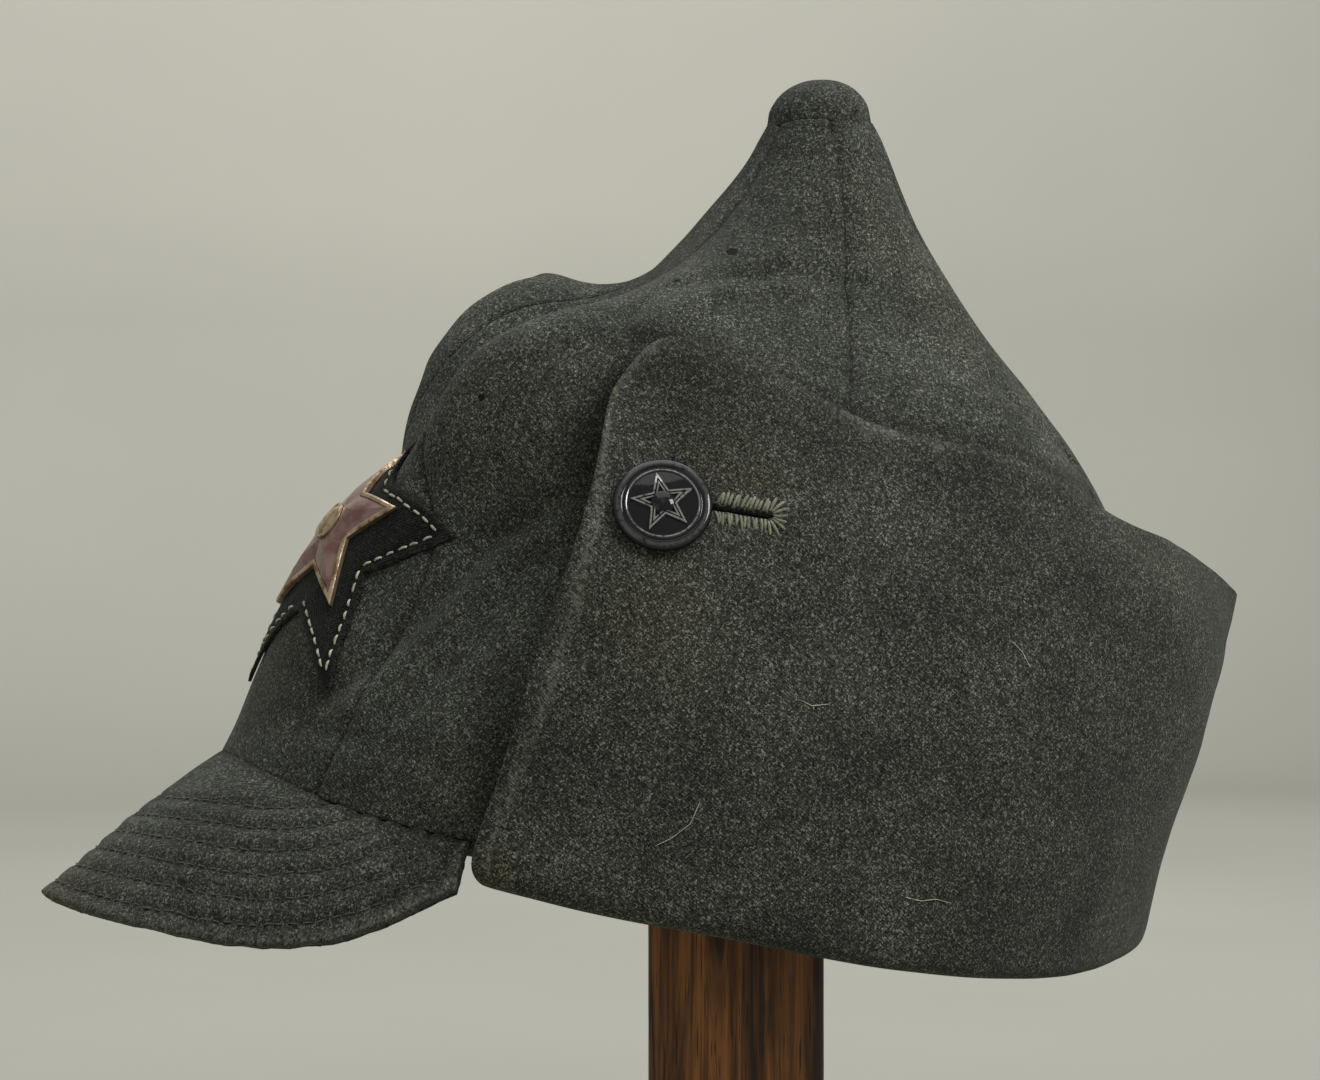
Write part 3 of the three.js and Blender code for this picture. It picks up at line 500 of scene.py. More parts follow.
def tube_faces(first, rings, sides):
    """Faces of a closed tube whose rings of points start at this number."""
    faces = []
    for ring in range(rings - 1):
        low = first + ring * sides
        for turn in range(sides):
            after = (turn + 1) % sides
            faces.append((low + turn, low + sides + turn, low + sides + after, low + after))
    faces.append(tuple(first + turn for turn in range(sides)))
    top = first + (rings - 1) * sides
    faces.append(tuple(top + turn for turn in reversed(range(sides))))
    return faces


def sew(name, stitches, radius, material, arch=0.7, sides=6):
    """One piece of many stitches, each a short bent rod whose ends sink into the cloth."""
    steps = (0, 0.12, 0.36, 0.64, 0.88, 1)
    widths = (0.5, 0.9, 1.05, 1.05, 0.9, 0.5)
    vertices, faces = [], []
    for start, end, out in stitches:
        start, end, out = np.array(start), np.array(end), np.array(out)
        way = end - start
        side = np.cross(way, out)
        side /= np.linalg.norm(side) + 1e-12
        rise = np.cross(side, way)
        rise /= np.linalg.norm(rise) + 1e-12
        first = len(vertices)
        for step, width in zip(steps, widths):
            lift = radius * (arch * 2 * math.sin(math.pi * step) - arch)
            middle = start + step * way + rise * (lift + 0.3 * radius)
            for turn in range(sides):
                angle = 2 * math.pi * turn / sides
                arm = side * math.cos(angle) + rise * math.sin(angle)
                vertices.append(middle + arm * radius * width)
        faces += tube_faces(first, len(steps), sides)
    piece = mesh_piece(name, vertices, faces)
    face_outwards(piece)
    return finish_piece(piece, material)


def strands(name, paths, radius, material, sides=4):
    """One piece of long thin fibres, each a closed tube along its path."""
    vertices, faces = [], []
    for path in paths:
        path = np.asarray(path, float)
        way = np.gradient(path, axis=0)
        way /= np.linalg.norm(way, axis=1)[:, None] + 1e-12
        first = len(vertices)
        for index, point in enumerate(path):
            side = np.cross(way[index], (0.31, 0.21, 0.93))
            side /= np.linalg.norm(side) + 1e-12
            other = np.cross(way[index], side)
            width = radius * (0.35 if index in (0, len(path) - 1) else 1)
            for turn in range(sides):
                angle = 2 * math.pi * turn / sides
                vertices.append(point + width * (side * math.cos(angle) + other * math.sin(angle)))
        faces += tube_faces(first, len(path), sides)
    piece = mesh_piece(name, vertices, faces)
    face_outwards(piece)
    return finish_piece(piece, material)


# Materials

RUST = (1.25, 1.08, 0.72, 1)
# Painted shade, multiplied into the wool along seams, grooves, the flap's edges and the flap's back
SEAM_SHADE = (0.35, 0.34, 0.32, 1)
RUBBED_WOOL = (0.17, 0.168, 0.135, 1)
INSIDE_DARK = (0.003, 0.003, 0.003, 1)
# Pale rubbed metal, also a painted highlight on the button's raised lines
RUBBED_METAL_HIGHLIGHT = (0.33, 0.32, 0.30, 1)
WOOD_PORES = (0.010, 0.005, 0.002, 1)


def add(tree, kind, inputs=(), **settings):
    """Adds a node, sets it up and fills its inputs with values or with other nodes' outputs."""
    made = tree.nodes.new(kind)
    for name, value in settings.items():
        setattr(made, name, value)
    for socket, value in dict(inputs).items():
        if isinstance(value, bpy.types.NodeSocket):
            tree.links.new(value, made.inputs[socket])
        else:
            made.inputs[socket].default_value = value
    return made


def math_node(tree, operation, first, second=0.0):
    return add(tree, "ShaderNodeMath", {0: first, 1: second}, operation=operation).outputs[0]


def spread(tree, value, low, high, to_low=0.0, to_high=1.0):
    """Maps a value from one range to another, and holds it inside."""
    inputs = {"Value": value, "From Min": low, "From Max": high}
    inputs.update({"To Min": to_low, "To Max": to_high})
    return add(tree, "ShaderNodeMapRange", inputs).outputs[0]


def blend(tree, share, first, second, kind="MIX"):
    """Mixes two colours."""
    made = add(tree, "ShaderNodeMix", data_type="RGBA", blend_type=kind)
    for index, value in ((0, share), (6, first), (7, second)):
        if isinstance(value, bpy.types.NodeSocket):
            tree.links.new(value, made.inputs[index])
        else:
            made.inputs[index].default_value = value
    return made.outputs[2]


def texture(tree, scale, detail=2.0, rough=0.5, vector=None, distortion=0.0):
    """Noise over the piece's own coordinates."""
    vector = vector or add(tree, "ShaderNodeTexCoord").outputs["Object"]
    inputs = {"Vector": vector, "Scale": scale, "Detail": detail, "Roughness": rough}
    inputs["Distortion"] = distortion
    return add(tree, "ShaderNodeTexNoise", inputs).outputs[0]


def grey_of(tree, shade):
    """A grey of this brightness, to darken or lighten a colour with."""
    return add(tree, "ShaderNodeCombineXYZ", {0: shade, 1: shade, 2: shade}).outputs[0]


def new_group(name, inputs, outputs):
    """An empty node group with these named sockets."""
    tree = bpy.data.node_groups.new(name, "ShaderNodeTree")
    for label, kind, default in inputs:
        socket = tree.interface.new_socket(label, in_out="INPUT", socket_type="NodeSocket" + kind)
        socket.default_value = default
    for label, kind in outputs:
        tree.interface.new_socket(label, in_out="OUTPUT", socket_type="NodeSocket" + kind)
    return tree, tree.nodes.new("NodeGroupInput"), tree.nodes.new("NodeGroupOutput")


def wool_group():
    """Fulled wool: pale and dark fibres, a faint weave and soft blotches."""
    if "wool" in bpy.data.node_groups:
        return bpy.data.node_groups["wool"]
    tree, given, result = new_group(
        "wool",
        (
            ("Wool", "Color", (0.06, 0.06, 0.05, 1)),
            ("Pale Fibres", "Color", (0.2, 0.2, 0.18, 1)),
            ("Dark Fibres", "Color", (0.01, 0.01, 0.01, 1)),
            ("Weave", "Float", 0.5),
            ("Fibre Size", "Float", 1.0),
        ),
        (("Color", "Color"), ("Height", "Float"), ("Roughness", "Float")),
    )
    size = given.outputs["Fibre Size"]
    space = add(tree, "ShaderNodeTexCoord").outputs["Object"]
    scaled = add(tree, "ShaderNodeVectorMath", {0: space, "Scale": size}, operation="SCALE")
    at = scaled.outputs[0]
    pale = texture(tree, 1350, 4.0, 0.72, at, 0.8)
    apart = add(tree, "ShaderNodeVectorMath", {0: at, 1: (0.3, 0.7, 0.1)}, operation="ADD")
    dark = texture(tree, 980, 3.0, 0.65, apart.outputs[0], 0.5)
    fuzz = texture(tree, 3300, 2.0, 0.6, at)
    clumps = texture(tree, 260, 3.0, 0.6, at)
    blotches = texture(tree, 42, 3.0, 0.55, space)

    thread = add(tree, "ShaderNodeUVMap", uv_map="cloth").outputs[0]
    parts = add(tree, "ShaderNodeSeparateXYZ", {0: thread})
    wander = spread(tree, texture(tree, 320, 2.0, 0.5, space), 0, 1, -0.55 * MM, 0.55 * MM)
    waves = []
    for axis, pitch in ((0, 0.95 * MM), (1, 0.85 * MM)):
        moved = math_node(tree, "ADD", parts.outputs[axis], wander)
        turned = math_node(tree, "MULTIPLY", moved, 2 * math.pi / pitch)
        waves.append(math_node(tree, "SINE", turned))
    plain = math_node(tree, "MULTIPLY", waves[0], waves[1])
    weave = spread(tree, math_node(tree, "MULTIPLY", plain, given.outputs["Weave"]), -1, 1)

    dark_share = spread(tree, dark, 0.51, 0.39, 0, 0.95)
    pale_share = spread(tree, pale, 0.52, 0.64, 0, 0.9)
    mixed = blend(tree, dark_share, given.outputs["Wool"], given.outputs["Dark Fibres"])
    mixed = blend(tree, pale_share, mixed, given.outputs["Pale Fibres"])
    shade = spread(tree, blotches, 0.28, 0.72, 0.66, 1.30)
    shade = math_node(tree, "MULTIPLY", shade, spread(tree, weave, 0, 1, 0.66, 1.34))
    shade = math_node(tree, "MULTIPLY", shade, spread(tree, clumps, 0.25, 0.75, 0.74, 1.26))
    mixed = blend(tree, 1.0, mixed, grey_of(tree, shade), "MULTIPLY")
    tree.links.new(mixed, result.inputs["Color"])

    height = math_node(tree, "MULTIPLY", fuzz, 0.35)
    height = math_node(tree, "ADD", height, math_node(tree, "MULTIPLY", pale, 0.55))
    height = math_node(tree, "ADD", height, math_node(tree, "MULTIPLY", clumps, 0.9))
    height = math_node(tree, "ADD", height, math_node(tree, "MULTIPLY", weave, 0.7))
    tree.links.new(height, result.inputs["Height"])
    tree.links.new(spread(tree, fuzz, 0.2, 0.8, 0.86, 1.0), result.inputs["Roughness"])
    return tree


def hole_group():
    """A small moth hole: dark inside, frayed at its edge."""
    if "moth_hole" in bpy.data.node_groups:
        return bpy.data.node_groups["moth_hole"]
    tree, given, result = new_group(
        "moth_hole",
        (("Middle", "Vector", (0, 0, 0)), ("Radius", "Float", 1.0 * MM)),
        (("Hole", "Float"),),
    )
    space = add(tree, "ShaderNodeTexCoord").outputs["Object"]
    apart = add(tree, "ShaderNodeVectorMath", {0: space, 1: given.outputs[0]}, operation="DISTANCE")
    ragged = spread(tree, texture(tree, 1300, 2.0, 0.6, space), 0.2, 0.8, -0.45 * MM, 0.45 * MM)
    apart = math_node(tree, "ADD", apart.outputs["Value"], ragged)
    inside = math_node(tree, "SUBTRACT", given.outputs[1], apart)
    tree.links.new(spread(tree, inside, -0.12 * MM, 0.12 * MM), result.inputs["Hole"])
    return tree


def new_material(name):
    made = bpy.data.materials.new(name + "_finish")
    made.use_nodes = True
    tree = made.node_tree
    shader = next(node for node in tree.nodes if node.type == "BSDF_PRINCIPLED")
    return made, tree, shader


def opaque(value, share=1.0):
    """A colour as sockets take it, darkened or lightened by a share."""
    return (*(min(1, share * part) for part in value), 1)


def wool_material(name, base, weave=0.5, fibre_size=1.0, holes=(), fade=1.0):
    """Wool in one of the cap's colours, with its stains, painted shade in seams, grooves and beside the
    flap, and moth holes.
    """
    made, tree, shader = new_material(name)
    wool = add(tree, "ShaderNodeGroup", node_tree=wool_group())
    wool.inputs["Wool"].default_value = opaque(base)
    wool.inputs["Pale Fibres"].default_value = opaque(colours().pale_fleck, fade)
    wool.inputs["Dark Fibres"].default_value = opaque(colours().dark_fleck, fade)
    wool.inputs["Weave"].default_value = weave
    wool.inputs["Fibre Size"].default_value = fibre_size
    stain = add(tree, "ShaderNodeAttribute", attribute_name="stain").outputs["Fac"]
    painted_shade = add(tree, "ShaderNodeAttribute", attribute_name="painted_shade").outputs["Fac"]
    worn = add(tree, "ShaderNodeAttribute", attribute_name="worn").outputs["Fac"]
    tint = blend(tree, stain, wool.outputs["Color"], RUST, "MULTIPLY")
    # Painted shade from the mask
    tint = blend(tree, math_node(tree, "MULTIPLY", painted_shade, 0.8), tint, SEAM_SHADE, "MULTIPLY")
    patchy = math_node(tree, "MULTIPLY", worn, spread(tree, texture(tree, 900, 3.0), 0.40, 0.62))
    tint = blend(tree, math_node(tree, "MULTIPLY", patchy, 0.62), tint, RUBBED_WOOL)
    height = wool.outputs["Height"]
    for middle, radius in holes:
        hole = add(tree, "ShaderNodeGroup", node_tree=hole_group())
        hole.inputs["Middle"].default_value = middle
        hole.inputs["Radius"].default_value = radius
        tint = blend(tree, hole.outputs[0], tint, INSIDE_DARK)
        sunk = math_node(tree, "MULTIPLY", hole.outputs[0], 3.0)
        height = math_node(tree, "SUBTRACT", height, sunk)
    bump = add(tree, "ShaderNodeBump", {"Height": height, "Strength": 0.75, "Distance": 0.42 * MM})
    tree.links.new(tint, shader.inputs["Base Color"])
    tree.links.new(wool.outputs["Roughness"], shader.inputs["Roughness"])
    tree.links.new(bump.outputs[0], shader.inputs["Normal"])
    shader.inputs["Specular IOR Level"].default_value = 0.1
    shader.inputs["Sheen Weight"].default_value = 0.12
    shader.inputs["Sheen Roughness"].default_value = 0.45
    shader.inputs["Sheen Tint"].default_value = (0.72, 0.74, 0.68, 1)
    return made


def thread_material(name, base):
    made, tree, shader = new_material(name)
    grime_and_shade = spread(tree, texture(tree, 700, 3.0, 0.6), 0.35, 0.65)
    worn = blend(tree, grime_and_shade, opaque(base, 0.45), opaque(base))
    tree.links.new(worn, shader.inputs["Base Color"])
    bump = add(tree, "ShaderNodeBump", {"Height": texture(tree, 2600, 2.0), "Distance": 0.15 * MM})
    tree.links.new(bump.outputs[0], shader.inputs["Normal"])
    shader.inputs["Roughness"].default_value = 0.85
    shader.inputs["Sheen Weight"].default_value = 0.2
    return made


def wear_group():
    """Rubbed and tarnished patches for metal, enamel and lacquer."""
    if "wear" in bpy.data.node_groups:
        return bpy.data.node_groups["wear"]
    tree, given, result = new_group(
        "wear",
        (
            ("Clean", "Color", (0.5, 0.5, 0.5, 1)),
            ("Worn", "Color", (0.1, 0.1, 0.1, 1)),
            ("Patch Scale", "Float", 220.0),
            ("Amount", "Float", 0.5),
        ),
        (("Color", "Color"), ("Worn", "Float"), ("Height", "Float")),
    )
    patches = texture(tree, given.outputs["Patch Scale"], 5.0, 0.62)
    specks = texture(tree, 2400, 3.0, 0.6)
    low = math_node(tree, "SUBTRACT", 0.72, math_node(tree, "MULTIPLY", given.outputs["Amount"], 0.4))
    mask = spread(tree, math_node(tree, "SUBTRACT", patches, low), -0.04, 0.10)
    tree.links.new(blend(tree, mask, given.outputs[0], given.outputs[1]), result.inputs["Color"])
    tree.links.new(mask, result.inputs["Worn"])
    height = math_node(tree, "ADD", math_node(tree, "MULTIPLY", specks, 0.3), patches)
    tree.links.new(height, result.inputs["Height"])
    return tree


def hard_material(name, clean, worn, patch_scale, amount, rough, metallic=0.0, bump=0.1):
    made, tree, shader = new_material(name)
    wear = add(tree, "ShaderNodeGroup", node_tree=wear_group())
    wear.inputs["Clean"].default_value = opaque(clean)
    wear.inputs["Worn"].default_value = opaque(worn)
    wear.inputs["Patch Scale"].default_value = patch_scale
    wear.inputs["Amount"].default_value = amount
    tree.links.new(wear.outputs["Color"], shader.inputs["Base Color"])
    gloss = spread(tree, wear.outputs["Worn"], 0, 1, rough[0], rough[1])
    tree.links.new(gloss, shader.inputs["Roughness"])
    relief = add(
        tree,
        "ShaderNodeBump",
        {"Height": wear.outputs["Height"], "Strength": 0.4, "Distance": bump * MM},
    )
    tree.links.new(relief.outputs[0], shader.inputs["Normal"])
    shader.inputs["Metallic"].default_value = metallic
    return made, shader


def rub_and_highlight_lacquer(tree, shader):
    """Lets pale metal show where the button's raised lines and ring crests are rubbed; on them it is also
    a painted highlight.
    """
    rubbed_and_highlight = add(tree, "ShaderNodeAttribute", attribute_name="rubbed_and_highlight").outputs["Fac"]
    patchy = math_node(tree, "MULTIPLY", rubbed_and_highlight, spread(tree, texture(tree, 900, 2.0), 0.3, 0.5))
    below = shader.inputs["Base Color"].links[0].from_socket
    tree.links.new(blend(tree, patchy, below, RUBBED_METAL_HIGHLIGHT), shader.inputs["Base Color"])
    tree.links.new(math_node(tree, "MULTIPLY", patchy, 0.7), shader.inputs["Metallic"])


def wood_material(name, upright):
    """Oiled brown wood with pores and paler streaks, its grain upright or from side to side."""
    made, tree, shader = new_material(name)
    space = add(tree, "ShaderNodeTexCoord").outputs["Object"]

    def stretched(along):
        scale = (1, 1, along) if upright else (1, along, 1)
        return add(tree, "ShaderNodeMapping", {"Vector": space, "Scale": scale}).outputs[0]

    bands = texture(tree, 130, 4.0, 0.6, stretched(0.07), 0.8)
    streaks = texture(tree, 620, 3.0, 0.6, stretched(0.03))
    pores = texture(tree, 1900, 2.0, 0.6, stretched(0.035))
    stains = texture(tree, 26, 3.0, 0.5, space)
    base = colours().wood
    tint = blend(tree, spread(tree, bands, 0.40, 0.60), opaque(base, 0.16), opaque(base, 2.3))
    tint = blend(tree, spread(tree, streaks, 0.56, 0.40, 0, 0.75), tint, opaque(base, 0.36))
    tint = blend(tree, spread(tree, pores, 0.42, 0.34, 0, 0.85), tint, WOOD_PORES)
    shade = spread(tree, stains, 0.3, 0.7, 0.72, 1.2)
    tint = blend(tree, 1.0, tint, grey_of(tree, shade), "MULTIPLY")
    tree.links.new(tint, shader.inputs["Base Color"])
    tree.links.new(spread(tree, streaks, 0.3, 0.7, 0.62, 0.42), shader.inputs["Roughness"])
    height = math_node(tree, "ADD", pores, math_node(tree, "MULTIPLY", streaks, 0.5))
    bump = add(tree, "ShaderNodeBump", {"Height": height, "Strength": 0.5, "Distance": 0.35 * MM})
    tree.links.new(bump.outputs[0], shader.inputs["Normal"])
    shader.inputs["Specular IOR Level"].default_value = 0.35
    return made


def material(name):
    """The material of that name, made the first time that it is asked for."""
    if name + "_finish" in bpy.data.materials:
        return bpy.data.materials[name + "_finish"]
    hues = colours()
    if name == "flap_wool":
        return wool_material(name, hues.flap, weave=0.6, fibre_size=1.25)
    if name == "peak_wool":
        return wool_material(name, hues.peak, weave=0.45, fibre_size=1.2)
    if name == "dark_cloth":
        return wool_material(name, hues.star, weave=0.9, fibre_size=1.4, fade=0.16)
    if name == "pale_thread":
        return thread_material(name, hues.thread)
    if name == "olive_thread":
        return thread_material(name, hues.olive_thread)
    if name == "wool_thread":
        return thread_material(name, [1.9 * part for part in hues.peak])
    if name == "badge_metal":
        return hard_material(name, hues.metal, (0.20, 0.13, 0.07), 260, 0.5, (0.28, 0.6), 0.9)[0]
    if name == "badge_enamel":
        made, shader = hard_material(
            name, hues.enamel, (0.20, 0.115, 0.095), 150, 0.7, (0.2, 0.45), 0.0, 0.08
        )
        shader.inputs["Coat Weight"].default_value = 0.5
        shader.inputs["Coat Roughness"].default_value = 0.08
        return made
    if name == "button_lacquer":
        made, shader = hard_material(
            name, hues.lacquer, (0.008, 0.0075, 0.007), 320, 0.2, (0.04, 0.12), 0.0, 0.02
        )
        rub_and_highlight_lacquer(made.node_tree, shader)
        shader.inputs["Specular IOR Level"].default_value = 0.3
        return made
    if name == "stand_wood":
        return wood_material(name, True)
    if name == "foot_wood":
        return wood_material(name, False)
    raise RuntimeError(f"no material is called {name}")


# Pieces


def close_gap(points, neighbour, reach=1.0 * MM, share=0.47):
    """Moves the points that nearly meet a neighbour most of the way to it."""
    found = [neighbour.nearest(point)[0] for point in points]
    ways = np.array([np.array(place) for place in found]) - points
    apart = np.linalg.norm(ways, axis=1)
    pull = share * np.clip((reach - apart) / (0.35 * reach), 0, 1)
    return points + ways * pull[:, None]


def seam_groove(points, others, depth, width):
    """Sinks points that are near other pieces, with small puckers along the way, and gives the mask for
    painted shade in the groove.
    """
    near = distance_to(points, others)
    pucker = 1 + 0.45 * noise(points, 3.4 * MM, 21)
    sink = depth * bell(near, width) * pucker
    return points - sink[:, None] * outward(points), bell(near, 0.55 * width)


def stain_spots(surface, stains):
    """Stains of the picture as places on the cloth, each with its reach and its strength."""
    return [(surface.seen(*place)[0], reach * MM, strength) for place, reach, strength in stains]


def stain_near(points, spots):
    """How strongly each point is stained, from spots of a place, a reach and a strength."""
    total = np.zeros(len(points))
    for place, reach, strength in spots:
        apart = np.linalg.norm(points - np.array(place), axis=1)
        total = np.maximum(total, strength * bell(apart, reach))
    return np.clip(total * (0.75 + 0.4 * noise(points, 9 * MM, 31)), 0, 1)


class CAP_OT_crown(bpy.types.Operator):
    """Makes the crown's six wool gores, with their seams, dents and folds"""

    bl_idname = "cap.crown"
    bl_label = "Crown"

    def execute(self, context):
        folds = read_folds()
        knob = Surface(frame["nodes"]["tip_knob"])
        gores = [refined_copy(gore, gore.replace("gore", "crown"), 3) for gore in GORES]
        for gore in gores:
            points = points_of(gore)
            top = np.clip((points[:, 2] - 288 * MM) / (14 * MM), 0, 1) ** 2
            reach = np.hypot(points[:, 0], points[:, 1] - SPIRE_BEHIND) + 1e-9
            points[:, 0] += 0.7 * MM * top * points[:, 0] / reach
            points[:, 1] += 0.7 * MM * top * (points[:, 1] - SPIRE_BEHIND) / reach
            points = close_gap(points, knob, reach=2.2 * MM, share=0.6)
            put_points(gore, settled(points, folds))
        after = gores[1:] + gores[:1]
        before = gores[-1:] + gores[:-1]
        beside = [Surface(*pair) for pair in zip(before, after)]
        closed = [close_gap(points_of(gore), near) for gore, near in zip(gores, beside)]
        for index, gore in enumerate(gores):
            rest = np.concatenate((closed[index - 1], closed[(index + 1) % len(gores)]))
            points, painted_shade = seam_groove(closed[index], rest, sizes().seam_depth, 1.5 * MM)
            lay_cloth_map(gore, round_map(points))
            # Painted shade in the sunk seams
            add_mask(gore, "painted_shade", 0.55 * painted_shade)
            add_mask(gore, "stain", np.clip(0.35 * noise(points, 22 * MM, 41), 0, 1))
            add_mask(gore, "worn", np.zeros(len(points)))
            put_points(gore, points)
        surface = Surface(*gores)
        # Painted shadow on the crown beside the flap's front and top edges
        self.shade_under(gores, surface.seen_line(CROWN_AT_FRONT)[0], 5 * MM, 0.85)
        self.shade_under(gores, surface.seen_line(CROWN_AT_TOP)[0], 2.6 * MM, 0.7)
        holes = [(surface.seen(*place)[0], radius * MM) for place, radius in MOTH_HOLES]
        cloth = wool_material("crown_wool", colours().crown, weave=0.5, fibre_size=1.25, holes=holes)
        for gore, node in zip(gores, GORES):
            finish_piece(gore, cloth, [node])
        return {"FINISHED"}

    def shade_under(self, gores, line, reach, strength):
        """Paints shadow on the crown along an edge of the flap that lies on it, on both sides of the cap.
        """
        both = np.concatenate([line, line * OTHER_SIDE])
        for gore in gores:
            points = points_of(gore)
            mask = gore.data.attributes["painted_shade"].data
            shade = strength * bell(distance_to(points, both), reach)
            values = np.zeros(len(points))
            mask.foreach_get("value", values)
            mask.foreach_set("value", np.maximum(values, shade))


class CAP_OT_tip_knob(bpy.types.Operator):
    """Makes the cloth-covered knob at the crown's point, gathered at its foot"""

    bl_idname = "cap.tip_knob"
    bl_label = "Tip knob"

    def execute(self, context):
        knob = refined_copy("tip_knob", "knob", 3)
        low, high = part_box("tip_knob")
        middle = np.array((low + high) / 2)
        points = points_of(knob)
        flat = points - middle
        angle = np.arctan2(flat[:, 1], flat[:, 0])
        share = np.clip((high.z - points[:, 2]) / (high.z - low.z), 0, 1)
        pleats = 0.25 * MM * share * (np.sin(14 * angle) + 0.6 * np.sin(23 * angle + 1))
        reach = np.hypot(flat[:, 0], flat[:, 1]) + 1e-9
        pleats *= np.minimum(1, reach / (10 * MM))
        points[:, :2] += (flat[:, :2] / reach[:, None]) * pleats[:, None]
        away = flat / np.linalg.norm(flat, axis=1)[:, None]
        points += 0.35 * MM * noise(points, 6 * MM, 7)[:, None] * away
        low_part = np.clip((low.z + 2.5 * MM - points[:, 2]) / (2.5 * MM), 0, 1)
        points[:, :2] -= flat[:, :2] * (0.045 * low_part)[:, None]
        points = close_gap(settled(points), Surface(*crown_pieces()), reach=3.2 * MM, share=0.96)
        put_points(knob, points)
        lay_cloth_map(knob, round_map(points))
        # Painted shade at the knob's gathered foot
        add_mask(knob, "painted_shade", 0.5 * low_part)
        add_mask(knob, "stain", np.zeros(len(points)))
        add_mask(knob, "worn", np.zeros(len(points)))
        finish_piece(knob, material("crown_wool"), ["tip_knob"])
        return {"FINISHED"}


class Buttonhole:
    """The slit beside a button: its line on the flap, and how the worn cloth closes it."""

    def __init__(self, node):
        seat, out, _ = seat_of(node)
        self.seat = settled([seat])[0]
        self.out = out
        slope = math.radians(16)
        back = np.array((0, math.cos(slope), -math.sin(slope)))
        self.back = back - out * (back @ out)
        self.back /= np.linalg.norm(self.back)
        self.rise = np.cross(out, self.back)
        if self.rise[2] < 0:
            self.rise = -self.rise

    def lifted(self, along):
        """How far the slit's line is over the CAD's, at a distance along it."""
        return sizes().slit_lift * np.clip((along - 4 * MM) / (6 * MM), 0, 1)

    def narrowed(self, points):
        local = points - self.seat
        along, across, high = local @ self.back, local @ self.rise, local @ self.out
        window = np.clip((along - 4 * MM) / (5 * MM), 0, 1)
        window *= np.clip((36 * MM - along) / (9 * MM), 0, 1)
        window *= np.abs(high) < 14 * MM
        size = np.abs(across)
        half, shut, calm = 1.7 * MM, 0.55 * MM, 8 * MM
        closer = np.where(size > calm, size, np.interp(size, (0, half, calm), (0, shut, calm)))
        shift = self.lifted(along) * bell(across, 8 * MM)
        moved = window * (np.sign(across) * closer - across + shift)
        return points + moved[:, None] * self.rise

    def on_cloth(self, surface, along, across):
        """The place and way out of the cloth beside the slit."""
        start = self.seat + along * self.back + (across + self.lifted(along)) * self.rise
        place, normal = surface.cast(start + 0.03 * self.out, -self.out)
        return np.array(place), np.array(normal)


class CAP_OT_neck_flap(bpy.types.Operator):
    """Makes the turned-up neck flap, its hem and its worn edges"""

    bl_idname = "cap.neck_flap"
    bl_label = "Neck flap"

    def execute(self, context):
        flap = refined_copy("neck_flap", "flap", 2)
        points = settled(points_of(flap))
        for node in BUTTONS:
            points = Buttonhole(node).narrowed(points)
        points += 0.22 * MM * noise(points, 6 * MM, 9)[:, None] * outward(points)
        put_points(flap, points)
        lay_cloth_map(flap, round_map(points))
        surface = Surface(flap)
        front, _ = surface.seen_line(FLAP_FRONT)
        top, _ = surface.seen_line(FLAP_TOP)
        spots = stain_spots(surface, FLAP_STAINS)
        spots += [(place * Vector(OTHER_SIDE), reach, 0.8 * share) for place, reach, share in spots]
        add_mask(flap, "stain", stain_near(points, spots))
        below = distance_to(points, top)
        # Painted shade on the flap: darker towards the back, and within about 20 mm below its top edge
        grime_and_shade = 0.35 * np.clip((points[:, 1] - 5 * MM) / (60 * MM), 0, 1)
        add_mask(flap, "painted_shade", np.maximum(grime_and_shade, 0.5 * bell(below, 20 * MM)))
        near = np.minimum(distance_to(points, front), distance_to(points, top[:75]))
        add_mask(flap, "worn", bell(near, 1.1 * MM))
        finish_piece(flap, material("flap_wool"), ["neck_flap"])

        size = sizes()
        hem, outs = surface.seen_line(FLAP_HEM)
        tacks = running_stitches(hem, outs, 1.5 * MM, 3.4 * MM, seed=4)
        both = tacks + [mirrored_stitch(surface, stitch) for stitch in tacks]
        sew("flap_hem_stitches", both, 0.16 * MM, material("wool_thread"))
        marks, outs = surface.seen_line(FLAP_CORNER_MARKS)
        scraps = running_stitches(marks, outs, 1.3 * MM, 1.6 * MM, seed=6, sway=0.4)
        sew("flap_corner_stitches", scraps, size.thread_radius, material("olive_thread"))
        return {"FINISHED"}


def mirrored_stitch(surface, stitch):
    """The same stitch on the cap's other side, laid on the cloth there."""
    start, end, _ = stitch
    first, out = surface.nearest(start * OTHER_SIDE)
    last, _ = surface.nearest(end * OTHER_SIDE)
    return np.array(first), np.array(last), np.array(out)


# Where the rays that find the peak's rim and rows start from
PEAK_MIDDLE = Vector((0, -70 * MM, 0))
HIGH_UP = Vector((0, 0, 0.5))


